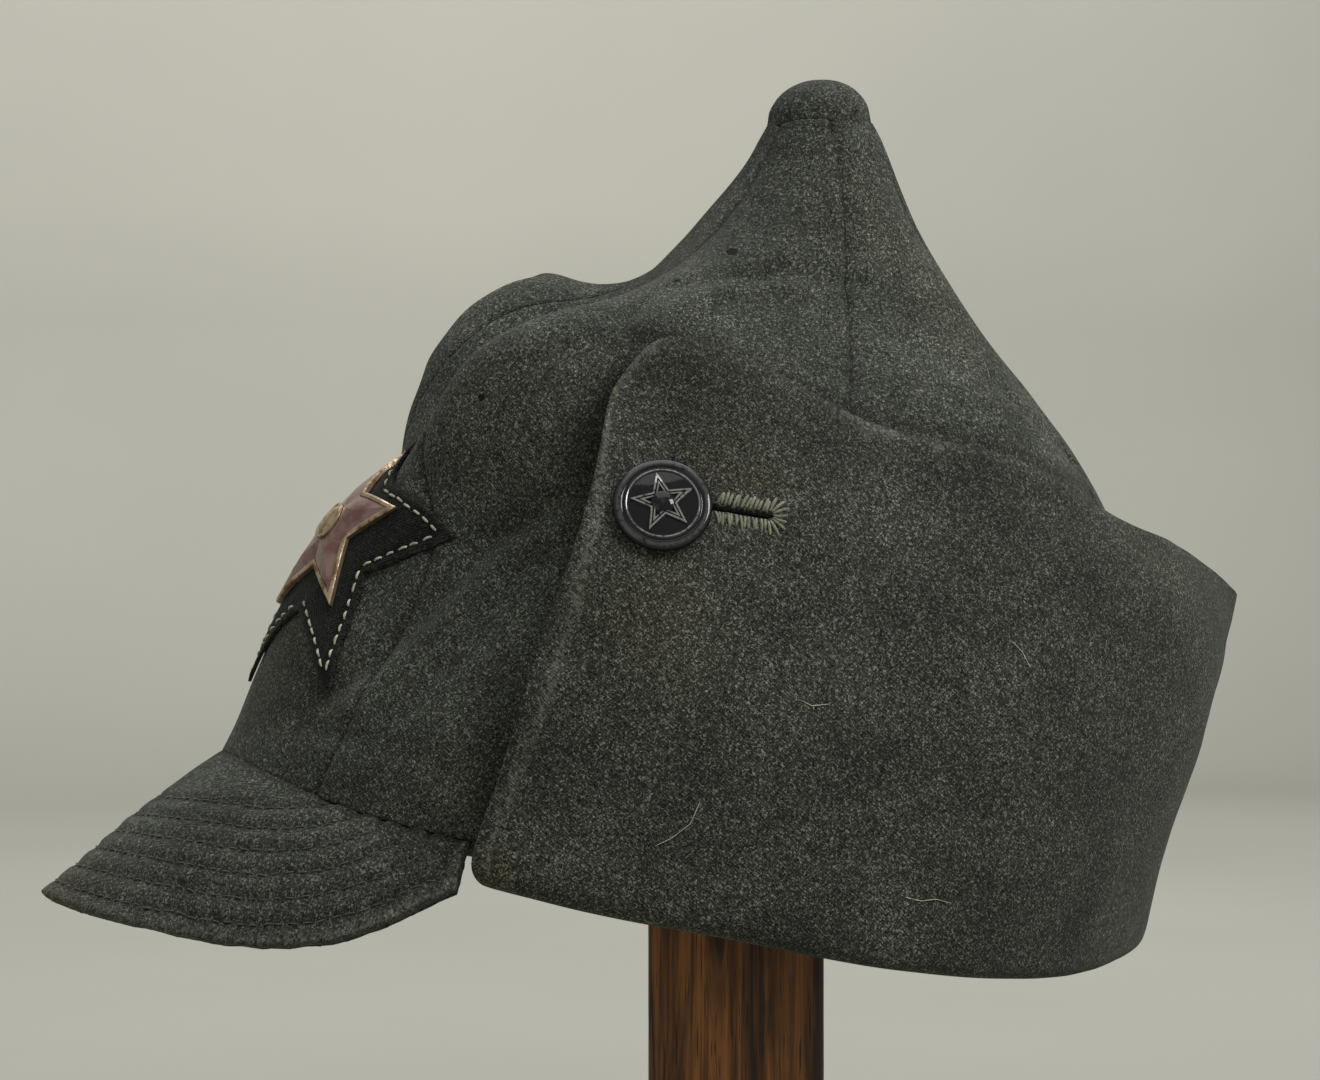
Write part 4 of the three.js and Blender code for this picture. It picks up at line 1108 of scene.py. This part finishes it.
class CAP_OT_peak(bpy.types.Operator):
    """Makes the quilted peak, with its sunk rows of stitches"""

    bl_idname = "cap.peak"
    bl_label = "Peak"

    def execute(self, context):
        size = sizes()
        peak = refined_copy("peak", "quilted_peak", 3)
        crown = Surface(*crown_pieces())
        points = close_gap(settled(points_of(peak)), crown, reach=1.7 * MM, share=0.94)
        put_points(peak, points)
        surface = Surface(peak)
        rim = self.outer_rim(surface, crown)
        inwards = distance_to(points, rim)
        sink = np.zeros(len(points))
        rows = [3.6 * MM + size.quilt_spacing * row for row in range(6)]
        for row in rows:
            pucker = 1 + 0.4 * noise(points, 3.2 * MM, 17)
            sink += size.quilt_depth * bell(inwards - row, 1.15 * MM) * pucker
        thick = np.clip(inwards / (2.2 * MM), 0, 1)
        normals = normals_of(peak)
        points = points - normals * (sink * thick)[:, None]
        points += normals * (0.18 * MM * noise(points, 4.5 * MM, 19))[:, None]
        put_points(peak, points)
        lay_cloth_map(peak, points[:, :2])
        # Painted shade in the sunk rows and where the peak meets the crown
        shade_at_crown = crown_seam(points, crown)
        add_mask(peak, "painted_shade", np.maximum(0.55 * sink / size.quilt_depth, shade_at_crown))
        add_mask(peak, "stain", stain_near(points, stain_spots(Surface(peak), PEAK_STAINS)))
        add_mask(peak, "worn", 0.7 * bell(inwards, 1.2 * MM))
        finish_piece(peak, material("peak_wool"), ["peak"])
        surface = Surface(peak)
        stitches = []
        for number, row in enumerate(rows):
            for side in (-1, 1):
                line, outs = self.row_line(surface, rim, row, side, crown)
                if len(line) > 3:
                    stitches += running_stitches(
                        line, outs, size.stitch_length, size.stitch_gap, seed=50 + number
                    )
        sew("peak_stitches", stitches, 0.17 * MM, material("wool_thread"))
        return {"FINISHED"}

    def outer_rim(self, surface, crown):
        """Points along the peak's free edge, from temple to temple."""
        rim = []
        for degrees in np.arange(-88, 88.1, 0.7):
            turn = math.radians(degrees)
            way = Vector((math.sin(turn), -math.cos(turn), 0))
            for reach in np.arange(120, 8, -0.5) * MM:
                place, _ = surface.cast(PEAK_MIDDLE + way * reach + HIGH_UP, (0, 0, -1))
                if place is not None:
                    break
            if place is not None and (crown.nearest(place)[0] - place).length > 2.5 * MM:
                rim.append(np.array(place))
        return np.array(rim)

    def row_line(self, surface, rim, row, side, crown):
        """Points and normals of one row on the peak's upper or lower face."""
        tree = tree_of(rim)
        line, outs = [], []
        for degrees in np.arange(-86, 86.1, 0.9):
            turn = math.radians(degrees)
            way = Vector((math.sin(turn), -math.cos(turn), 0))
            before = None
            for reach in np.arange(110, 8, -0.8) * MM:
                start = PEAK_MIDDLE + way * reach + (HIGH_UP if side > 0 else Vector())
                place, normal = surface.cast(start, (0, 0, -side))
                if place is None:
                    continue
                apart = tree.find(place)[2]
                if apart >= row:
                    if before and (crown.nearest(place)[0] - place).length > 3 * MM:
                        share = (row - before[1]) / (apart - before[1] + 1e-9)
                        spot = before[0].lerp(place, share)
                        line.append(np.array(spot))
                        outs.append(np.array(normal))
                    break
                before = (place, apart)
        return np.array(line), np.array(outs)


def crown_seam(points, crown):
    """How near each point is to the crown's cloth."""
    apart = np.array([(crown.nearest(point)[0] - Vector(point)).length for point in points])
    return bell(apart, 1.2 * MM)


class StarBed:
    """Lays flat points of the star and its badge on the dressed crown's front, along the CAD's rays."""

    def __init__(self):
        self.crown = Surface(*crown_pieces())

    def lay(self, across, up, lift):
        angle = across / STAR_BEND_RADIUS
        way = math.cos(angle) * STAR_OUT + math.sin(angle) * Vector((1, 0, 0))
        axis = STAR_MIDDLE - STAR_BEND_RADIUS * STAR_OUT
        axis = axis + STAR_UP * (up - across * across / (2 * STAR_TO_POINT))
        sideways = STAR_UP.cross(way)
        hits = []
        for right, rise in ((0, 0), (1, 0), (-1, 0), (0, 1), (0, -1)):
            start = axis + 0.3 * way + 2.2 * MM * (right * sideways + rise * STAR_UP)
            place, normal = self.crown.cast(start, -way)
            hits.append(((start - place).length, normal))
        reach = min(hits[0][0], max(sum(hit[0] for hit in hits) / 5, hits[0][0] - 0.3 * MM))
        normal = sum((hit[1] for hit in hits), Vector((0, 0, 0))).normalized()
        return np.array(axis + (0.3 - reach) * way + normal * (0.3 * MM + lift)), np.array(normal)

    def lay_all(self, flat):
        """Laid places of many points, given as across, up and lift."""
        return np.array([self.lay(*point)[0] for point in flat])


def edge_distance(flat, corners):
    """How far each flat point is from a closed outline."""
    nearest = np.full(len(flat), 1e9)
    for start, end in zip(corners, np.roll(corners, -1, axis=0)):
        way = end - start
        share = np.clip((flat - start) @ way / (way @ way), 0, 1)
        apart = np.linalg.norm(flat - start - share[:, None] * way, axis=1)
        nearest = np.minimum(nearest, apart)
    return nearest


def star_corners(radius, inner=STAR_INNER_SHARE):
    """Corners of a five-pointed star on its flat cloth, anticlockwise from its top point."""
    corners = []
    for corner in range(10):
        reach = radius * (1 if corner % 2 == 0 else inner)
        angle = math.pi / 2 + STAR_TILT + corner * math.pi / 5
        corners.append((reach * math.cos(angle), reach * math.sin(angle)))
    return np.array(corners)


class CAP_OT_cloth_star(bpy.types.Operator):
    """Makes the dark cloth star with its frayed edge and pale running stitches"""

    bl_idname = "cap.cloth_star"
    bl_label = "Cloth star"

    def execute(self, context):
        size = sizes()
        bed = StarBed()
        star = flat_star("dark_star", size.star_radius, STAR_INNER_SHARE, 0)
        bpy.ops.mesh.extrude_region_move(TRANSFORM_OT_translate={"value": (0, 0, 1 * MM)})
        bpy.ops.mesh.select_all(action="SELECT")
        bpy.ops.mesh.normals_make_consistent(inside=False)
        bpy.ops.object.mode_set(mode="OBJECT")
        edit_all(star)
        bpy.ops.mesh.poke()
        bpy.ops.mesh.subdivide(number_cuts=22)
        bpy.ops.object.mode_set(mode="OBJECT")
        flat = points_of(star)
        outline = star_corners(size.star_radius)
        inside = edge_distance(flat[:, :2], outline)
        reach = np.linalg.norm(flat[:, :2], axis=1)[:, None] + 1e-9
        ragged = 0.35 * MM * noise(flat, 1.1 * MM, 61) + 0.45 * MM * noise(flat, 4 * MM, 62)
        flat[:, :2] += flat[:, :2] / reach * (ragged * np.exp(-inside / (1.5 * MM)))[:, None]
        tuft = 0.16 * MM * noise(flat, 2.6 * MM, 63) + 0.10 * MM * noise(flat, 1.2 * MM, 64)
        dip = bell(inside - STITCHES_INSIDE, 0.8 * MM)
        relief = tuft - 0.28 * MM * dip - 0.25 * MM * (inside < 0.2 * MM)
        flat[:, 2] += (flat[:, 2] > 0.5 * MM) * relief
        lay_cloth_map(star, flat[:, :2])
        # Painted shade in the dip along the stitches
        add_mask(star, "painted_shade", 0.5 * dip)
        add_mask(star, "stain", np.zeros(len(flat)))
        add_mask(star, "worn", 0.25 * bell(inside, 0.6 * MM))
        put_points(star, bed.lay_all(flat))
        finish_piece(star, material("dark_cloth"), ["cloth_star"])

        tip, notch = outline[:2]
        span = notch - tip
        apothem = abs(tip[0] * span[1] - tip[1] * span[0]) / np.linalg.norm(span)
        corners = (apothem - STITCHES_INSIDE) / apothem * outline
        stitches = []
        for index in range(10):
            start, end = corners[index], corners[(index + 1) % 10]
            row = [start + step * (end - start) for step in np.linspace(0.02, 0.98, 24)]
            laid = [bed.lay(*place, 0.75 * MM) for place in row]
            line = np.array([place for place, _ in laid])
            outs = np.array([out for _, out in laid])
            stitches += running_stitches(line, outs, size.stitch_length, 0.9 * MM, seed=70 + index)
        sew("star_stitches", stitches, 0.29 * MM, material("pale_thread"))
        return {"FINISHED"}


def flat_star(name, radius, inner, height):
    """A star-shaped face of ten corners, raised to a height, still in edit mode."""
    bpy.ops.object.select_all(action="DESELECT")
    bpy.ops.mesh.primitive_circle_add(vertices=10, radius=radius, fill_type="NGON")
    star = bpy.context.object
    star.name = name
    star.data.name = name
    corners = star_corners(radius, inner)
    for vertex, corner in zip(star.data.vertices, corners):
        vertex.co = (corner[0], corner[1], height)
    bpy.ops.object.mode_set(mode="EDIT")
    bpy.ops.mesh.select_mode(type="FACE")
    bpy.ops.mesh.select_all(action="SELECT")
    return star


def lay_on_bed(piece, bed):
    """Takes a flat piece, modelled with its height along Z, to its place on the cap."""
    flat = points_of(piece)
    turned = flat.copy()
    cosine, sine = math.cos(BADGE_TURN), math.sin(BADGE_TURN)
    turned[:, 0] = cosine * flat[:, 0] - sine * flat[:, 1] + BADGE_SHIFT[0]
    turned[:, 1] = sine * flat[:, 0] + cosine * flat[:, 1] + BADGE_SHIFT[1]
    put_points(piece, bed.lay_all(turned))
    face_outwards(piece, merge=1e-6)


class CAP_OT_badge(bpy.types.Operator):
    """Makes the metal star badge: rim, ridged enamel arms and a plain domed middle"""

    bl_idname = "cap.badge"
    bl_label = "Badge"

    def execute(self, context):
        bed = StarBed()
        radius = sizes().badge_radius
        base = 1.2 * MM
        rim = flat_star("badge_frame", radius, 0.45, base)
        bpy.ops.mesh.extrude_region_move(TRANSFORM_OT_translate={"value": (0, 0, 1.2 * MM)})
        bpy.ops.mesh.inset(thickness=0.4 * MM, depth=0.25 * MM)
        bpy.ops.mesh.inset(thickness=0.75 * MM, depth=0)
        bpy.ops.mesh.extrude_region_move(TRANSFORM_OT_translate={"value": (0, 0, -1.0 * MM)})
        bpy.ops.mesh.poke()
        bpy.ops.mesh.select_all(action="SELECT")
        bpy.ops.mesh.subdivide(number_cuts=3)
        bpy.ops.object.mode_set(mode="OBJECT")
        lay_on_bed(rim, bed)
        self.soften(rim, 0.25 * MM)
        finish_piece(rim, material("badge_metal"), ["badge_rim"], angle=35)

        enamel_base = base + 0.55 * MM
        enamel = flat_star("badge_arms", 0.87 * radius, 0.45, enamel_base)
        bpy.ops.mesh.extrude_region_move(TRANSFORM_OT_translate={"value": (0, 0, 0.5 * MM)})
        bpy.ops.mesh.inset(thickness=0.3 * MM, depth=0.15 * MM)
        bpy.ops.mesh.poke(offset=2.0 * MM)
        bpy.ops.mesh.select_all(action="SELECT")
        bpy.ops.mesh.subdivide(number_cuts=7)
        bpy.ops.object.mode_set(mode="OBJECT")
        points = points_of(enamel)
        points[:, 2] = np.minimum(points[:, 2], enamel_base + 1.65 * MM)
        put_points(enamel, points)
        lay_on_bed(enamel, bed)
        finish_piece(enamel, material("badge_enamel"), ["badge_enamel"], angle=12)

        bpy.ops.object.select_all(action="DESELECT")
        boss_base = enamel_base + 1.75 * MM
        bpy.ops.mesh.primitive_circle_add(
            vertices=40, radius=4.6 * MM, location=(0, 0, boss_base), fill_type="NGON"
        )
        boss = bpy.context.object
        boss.name = boss.data.name = "badge_dome"
        only(boss)
        bpy.ops.object.transform_apply(location=True, rotation=True, scale=True)
        bpy.ops.object.mode_set(mode="EDIT")
        bpy.ops.mesh.select_all(action="SELECT")
        bpy.ops.mesh.extrude_region_move(TRANSFORM_OT_translate={"value": (0, 0, 0.5 * MM)})
        for inset, rise in ((0.3, 0.15), (0.4, -0.15), (0.4, 0.0), (0.3, 0.2), (0.9, 0.3), (1.0, 0.15)):
            bpy.ops.mesh.inset(thickness=inset * MM, depth=rise * MM)
        bpy.ops.mesh.poke(offset=0.06 * MM)
        bpy.ops.object.mode_set(mode="OBJECT")
        lay_on_bed(boss, bed)
        finish_piece(boss, material("badge_metal"), ["badge_boss"], angle=40)
        return {"FINISHED"}

    def soften(self, piece, width):
        only(piece)
        rounder = piece.modifiers.new("round", "BEVEL")
        rounder.width = width
        rounder.segments = 2
        rounder.limit_method = "ANGLE"
        rounder.angle_limit = math.radians(50)
        bpy.ops.object.modifier_apply(modifier=rounder.name)


def seat_of(node):
    """The middle of a round CAD button at the foot of its face, and the way that it points."""
    points = np.array([vertex.co for vertex in frame["nodes"][node].data.vertices])
    points = np.unique(np.round(points, 6), axis=0)
    middle = points.mean(axis=0)
    _, _, axes = np.linalg.svd(points - middle)
    out = axes[2] if axes[2][0] * middle[0] > 0 else -axes[2]
    heights = (points - middle) @ out
    reach = np.linalg.norm(points - middle - heights[:, None] * out, axis=1)
    foot = heights[reach > 0.8 * reach.max()].min()
    return middle + foot * out, out, heights.min() - foot


BUTTON_TURN = math.radians(12)

# The button's outline from its back to its middle, as shares of its radius and its height
BUTTON_SECTION = (
    (0.30, 0.00), (0.86, 0.00), (0.95, 0.07), (1.00, 0.22), (1.00, 0.36), (0.97, 0.50),
    (0.92, 0.58), (0.87, 0.585), (0.835, 0.50), (0.80, 0.47), (0.775, 0.50), (0.755, 0.60),
    (0.735, 0.63), (0.71, 0.60), (0.69, 0.545), (0.45, 0.66), (0.30, 0.70), (0.27, 0.70),
    (0.255, 0.78), (0.22, 0.86), (0.15, 0.94), (0.07, 0.985),
)


class CAP_OT_buttons(bpy.types.Operator):
    """Makes the two black buttons: ringed face, raised star outline and a plain dome"""

    bl_idname = "cap.buttons"
    bl_label = "Buttons"

    def execute(self, context):
        for node, name in BUTTONS.items():
            self.make(node, name)
        return {"FINISHED"}

    def make(self, node, name):
        size = sizes()
        seat, out, shank = seat_of(node)
        radius, rise = size.button_radius, size.button_rise
        bpy.ops.object.select_all(action="DESELECT")
        bpy.ops.mesh.primitive_circle_add(
            vertices=48, radius=1.3 * MM, location=(0, 0, shank), fill_type="NGON"
        )
        button = bpy.context.object
        button.name = button.data.name = name
        only(button)
        bpy.ops.object.transform_apply(location=True, rotation=True, scale=True)
        bpy.ops.object.mode_set(mode="EDIT")
        bpy.ops.mesh.select_mode(type="EDGE")
        bpy.ops.mesh.select_all(action="SELECT")
        reach, height = 1.3 * MM, shank
        for share, level in ((1.3 * MM / radius, 0),) + BUTTON_SECTION:
            bpy.ops.mesh.extrude_edges_move(
                TRANSFORM_OT_translate={"value": (0, 0, level * rise - height)}
            )
            if reach > 0:
                grow = share * radius / reach
                bpy.ops.transform.resize(
                    value=(grow, grow, 1), center_override=(0, 0, level * rise)
                )
            reach, height = share * radius, level * rise
        bpy.ops.mesh.extrude_edges_move(TRANSFORM_OT_translate={"value": (0, 0, 0.015 * rise)})
        bpy.ops.mesh.merge(type="CENTER")
        bpy.ops.mesh.select_all(action="SELECT")
        bpy.ops.mesh.remove_doubles(threshold=1e-7)
        bpy.ops.mesh.normals_make_consistent(inside=False)
        bpy.ops.object.mode_set(mode="OBJECT")

        parts = [self.star_line(radius, rise, 0.66, 0.036), self.star_line(radius, rise, 0.47, 0.028)]
        parts += self.dots(radius, rise)
        only(button)
        for part in parts:
            part.select_set(True)
        bpy.context.view_layer.objects.active = button
        bpy.ops.object.join()
        flat = points_of(button)
        far = np.hypot(flat[:, 0], flat[:, 1]) / radius
        section = np.array(((0, 0.99),) + BUTTON_SECTION[:3:-1])
        level = np.interp(far, section[:, 0], section[:, 1]) * rise
        proud = np.clip((flat[:, 2] - level) / (0.35 * MM), 0, 1) * (far < 0.7)
        # Rubbed metal and painted highlight on the raised star lines and the ring crests
        crests = bell(far - 0.895, 0.02) + bell(far - 0.735, 0.015)
        add_mask(button, "rubbed_and_highlight", np.clip(proud + 0.7 * crests * (flat[:, 2] > 0.4 * rise), 0, 1))
        turn = Vector((0, 0, 1)).rotation_difference(Vector(out)).to_matrix()
        spun = points_of(button) @ np.array(turn).T + seat
        put_points(button, spun + settled([seat])[0] - seat)
        finish_piece(button, material("button_lacquer"), [node], angle=38)

    def star_line(self, radius, rise, reach, width):
        """A thin raised star outline on the button's face."""
        bpy.ops.object.select_all(action="DESELECT")
        bpy.ops.mesh.primitive_circle_add(vertices=10, radius=radius, fill_type="NGON")
        line = bpy.context.object
        turn = BUTTON_TURN
        corners = star_corners(reach * radius, 0.42)
        spin = np.array([[math.cos(turn), -math.sin(turn)], [math.sin(turn), math.cos(turn)]])
        for vertex, corner in zip(line.data.vertices, corners @ spin.T):
            vertex.co = (corner[0], corner[1], 0.52 * rise)
        bpy.ops.object.mode_set(mode="EDIT")
        bpy.ops.mesh.select_mode(type="FACE")
        bpy.ops.mesh.select_all(action="SELECT")
        bpy.ops.mesh.inset(thickness=width * radius, depth=0)
        bpy.ops.mesh.delete(type="FACE")
        bpy.ops.mesh.select_all(action="SELECT")
        bpy.ops.mesh.subdivide(number_cuts=3)
        bpy.ops.mesh.extrude_region_move(TRANSFORM_OT_translate={"value": (0, 0, 0.19 * rise)})
        bpy.ops.object.mode_set(mode="OBJECT")
        points = points_of(line)
        far = np.hypot(points[:, 0], points[:, 1]) / radius
        points[:, 2] += rise * np.interp(far, (0, 0.30, 0.45, 0.69), (0.17, 0.15, 0.11, 0.0))
        put_points(line, points)
        face_outwards(line)
        return line

    def dots(self, radius, rise):
        """Two small beads in each arm of the star."""
        made = []
        turn = BUTTON_TURN + STAR_TILT
        for arm in range(5):
            angle = math.pi / 2 + turn + arm * 2 * math.pi / 5
            for reach in (0.36, 0.43):
                bpy.ops.object.select_all(action="DESELECT")
                far = reach * radius
                height = rise * np.interp(reach, (0, 0.30, 0.45, 0.69), (0.71, 0.69, 0.66, 0.55))
                bpy.ops.mesh.primitive_uv_sphere_add(
                    segments=10,
                    ring_count=6,
                    radius=0.028 * radius,
                    location=(far * math.cos(angle), far * math.sin(angle), height),
                )
                bead = bpy.context.object
                only(bead)
                bpy.ops.object.transform_apply(location=True, rotation=True, scale=True)
                made.append(bead)
        return made


class CAP_OT_buttonholes(bpy.types.Operator):
    """Sews round both buttonholes with thick olive thread"""

    bl_idname = "cap.buttonholes"
    bl_label = "Buttonholes"

    def execute(self, context):
        surface = Surface(bpy.data.objects["flap"])
        stitches = []
        for node in BUTTONS:
            stitches += self.round_slit(Buttonhole(node), surface)
        thread = material("olive_thread")
        sew("buttonhole_stitches", stitches, 0.34 * MM, thread, arch=0.45)
        return {"FINISHED"}

    def round_slit(self, hole, surface):
        random = np.random.default_rng(8)
        end = sizes().buttonhole_length - 1.7 * MM - 1.2 * MM
        made = []
        for along in np.arange(11.6 * MM, end, 0.92 * MM):
            for side in (-1, 1):
                start = along + random.uniform(-0.2, 0.2) * MM
                foot = hole.on_cloth(surface, start, side * 0.95 * MM)
                slant = random.uniform(0.1, 1.3) * MM
                reach = side * random.uniform(3.4, 4.6) * MM
                head = hole.on_cloth(surface, start + slant, reach)
                made.append((foot[0], head[0], foot[1]))
        for degrees in np.linspace(-75, 75, 8):
            turn = math.radians(degrees)
            inner, outer = 1.3 * MM, random.uniform(4.0, 5.4) * MM
            foot = hole.on_cloth(surface, end + inner * math.cos(turn), inner * math.sin(turn))
            head = hole.on_cloth(surface, end + outer * math.cos(turn), outer * math.sin(turn))
            made.append((foot[0], head[0], foot[1]))
        return made


class CAP_OT_loose_fibres(bpy.types.Operator):
    """Adds the loose hairs and thread ends that lie on the wool"""

    bl_idname = "cap.loose_fibres"
    bl_label = "Loose fibres"

    def execute(self, context):
        flap = Surface(bpy.data.objects["flap"])
        star = Surface(bpy.data.objects["dark_star"])
        hairs = []
        for cloth, places in ((flap, FLAP_HAIRS), (star, STAR_HAIRS)):
            for corners in places:
                line, outs = cloth.seen_line(corners, step=0.9 * MM)
                hairs.append(line + outs * 0.16 * MM)
        strands("loose_hairs", hairs, 0.085 * MM, material("pale_thread"))
        return {"FINISHED"}


class CAP_OT_stand(bpy.types.Operator):
    """Makes the wooden post, its domed head and its round foot"""

    bl_idname = "cap.stand"
    bl_label = "Stand"

    def execute(self, context):
        for node, name, levels in (
            ("stand_post", "post", 4),
            ("stand_head", "post_head", 2),
            ("stand_base", "post_foot", 2),
        ):
            piece = refined_copy(node, name, levels, sharp=28, crease=0.9)
            points = points_of(piece)
            dents = 0.10 * MM * noise(points, 7 * MM, 81) + 0.07 * MM * noise(points, 2.5 * MM, 82)
            put_points(piece, points + normals_of(piece) * dents[:, None])
            wood = material("foot_wood" if node == "stand_base" else "stand_wood")
            finish_piece(piece, wood, [node], angle=40)
        return {"FINISHED"}


# The backdrop: the bend between floor and wall, and the wall's height, in metres
SWEEP_RADIUS = 0.4
SWEEP_STEPS = 8
WALL_HEIGHT = 3.0

# Name, place, side in metres and watts of each lamp
LAMPS = (
    ("key", (1.15, 0.95, 1.35), 0.7, 25),
    ("top", (0.15, 0.0, 1.7), 1.3, 8),
    ("fill", (1.5, -1.6, 0.7), 1.4, 3),
    ("backdrop", (-1.0, 0.2, 1.9), 1.6, 34),
)
LAMPS_AIM = Vector((0, 0, 0.2))
BACKDROP_AIM = Vector((-2.2, 0.4, 0.5))


class CAP_OT_studio(bpy.types.Operator):
    """Sets up the pale floor and backdrop, the soft lights and the camera"""

    bl_idname = "cap.studio"
    bl_label = "Studio"

    def execute(self, context):
        scene = context.scene
        scene.view_settings.view_transform = "Standard"
        camera = bpy.data.objects.new("camera", bpy.data.cameras.new("camera"))
        scene.collection.objects.link(camera)
        camera.location = CAMERA_PLACE
        camera.rotation_euler = (CAMERA_AIM - CAMERA_PLACE).to_track_quat("-Z", "Y").to_euler()
        camera.data.lens = LENS
        camera.data.sensor_width = SENSOR_WIDTH
        camera.data.clip_end = 50
        scene.camera = camera

        bpy.ops.object.select_all(action="DESELECT")
        bpy.ops.mesh.primitive_plane_add(size=6, location=(1.0, 0, 0))
        floor = context.object
        floor.name = floor.data.name = "studio_floor"
        only(floor)
        bpy.ops.object.transform_apply(location=True, rotation=True, scale=True)
        made, tree, shader = new_material("studio_pale")
        space = add(tree, "ShaderNodeTexCoord").outputs["Object"]
        height = add(tree, "ShaderNodeSeparateXYZ", {0: space}).outputs[2]
        # Painted shade: the floor darker than the wall, reaching the wall's pale half a metre up
        low, high = opaque(colours().floor), opaque(colours().floor, 1.42)
        shade = blend(tree, spread(tree, height, 0.0, 0.5), low, high)
        clouds = spread(tree, texture(tree, 2.2, 3.0), 0.3, 0.7)
        clouded = blend(tree, clouds, (1, 1, 1, 1), (0.93, 0.93, 0.93, 1))
        tree.links.new(blend(tree, 1.0, shade, clouded, "MULTIPLY"), shader.inputs["Base Color"])
        shader.inputs["Roughness"].default_value = 0.9
        floor.data.materials.append(made)
        bpy.ops.object.mode_set(mode="EDIT")
        bpy.ops.mesh.select_mode(type="EDGE")
        bpy.ops.mesh.select_all(action="DESELECT")
        bpy.ops.object.mode_set(mode="OBJECT")
        for edge in floor.data.edges:
            ends = [floor.data.vertices[index].co for index in edge.vertices]
            edge.select = all(end.x < -1.9 for end in ends)
        bpy.ops.object.mode_set(mode="EDIT")
        bends = np.linspace(0, math.pi / 2, SWEEP_STEPS + 1)
        for before, turn in zip(bends, bends[1:]):
            across = -SWEEP_RADIUS * (math.sin(turn) - math.sin(before))
            up = SWEEP_RADIUS * (math.cos(before) - math.cos(turn))
            bpy.ops.mesh.extrude_edges_move(TRANSFORM_OT_translate={"value": (across, 0, up)})
        bpy.ops.mesh.extrude_edges_move(TRANSFORM_OT_translate={"value": (0, 0, WALL_HEIGHT)})
        bpy.ops.mesh.select_all(action="SELECT")
        bpy.ops.mesh.normals_make_consistent(inside=False)
        bpy.ops.object.mode_set(mode="OBJECT")
        bpy.ops.object.shade_smooth_by_angle(angle=math.radians(40))

        for name, place, side, watts in LAMPS:
            light = bpy.data.lights.new(name, "AREA")
            light.shape = "SQUARE"
            light.size = side
            light.energy = watts
            lamp = bpy.data.objects.new(name, light)
            scene.collection.objects.link(lamp)
            lamp.location = place
            aim = (BACKDROP_AIM if name == "backdrop" else LAMPS_AIM) - Vector(place)
            lamp.rotation_euler = aim.to_track_quat("-Z", "Y").to_euler()
        world = bpy.data.worlds.new("studio_light")
        world.use_nodes = True
        sky = next(node for node in world.node_tree.nodes if node.type == "BACKGROUND")
        sky.inputs["Color"].default_value = (0.93, 0.97, 0.94, 1)
        sky.inputs["Strength"].default_value = 0.40
        scene.world = world
        return {"FINISHED"}


STEPS = (
    CAP_OT_crown,
    CAP_OT_tip_knob,
    CAP_OT_neck_flap,
    CAP_OT_peak,
    CAP_OT_cloth_star,
    CAP_OT_badge,
    CAP_OT_buttons,
    CAP_OT_buttonholes,
    CAP_OT_loose_fibres,
    CAP_OT_stand,
    CAP_OT_studio,
)


class CAP_PT_panel(bpy.types.Panel):
    """Lists the cap's pieces and their sizes and colours"""

    bl_idname = "CAP_PT_panel"
    bl_label = "Budenovka"
    bl_space_type = "VIEW_3D"
    bl_region_type = "UI"
    bl_category = "Budenovka"

    def draw(self, context):
        for step in STEPS:
            self.layout.operator(step.bl_idname)
        for group in (context.scene.cap_sizes, context.scene.cap_colours):
            for name in group.bl_rna.properties.keys():
                if name not in ("rna_type", "name"):
                    self.layout.prop(group, name)


CLASSES = (CapSizes, CapColours, *STEPS, CAP_PT_panel)


def register():
    for made in CLASSES:
        bpy.utils.register_class(made)
    bpy.types.Scene.cap_sizes = bpy.props.PointerProperty(type=CapSizes)
    bpy.types.Scene.cap_colours = bpy.props.PointerProperty(type=CapColours)


def unregister():
    del bpy.types.Scene.cap_colours
    del bpy.types.Scene.cap_sizes
    for made in reversed(CLASSES):
        bpy.utils.unregister_class(made)


def main():
    register()
    for step in STEPS:
        family, name = step.bl_idname.split(".")
        getattr(getattr(bpy.ops, family), name)()


if __name__ == "__main__":
    main()
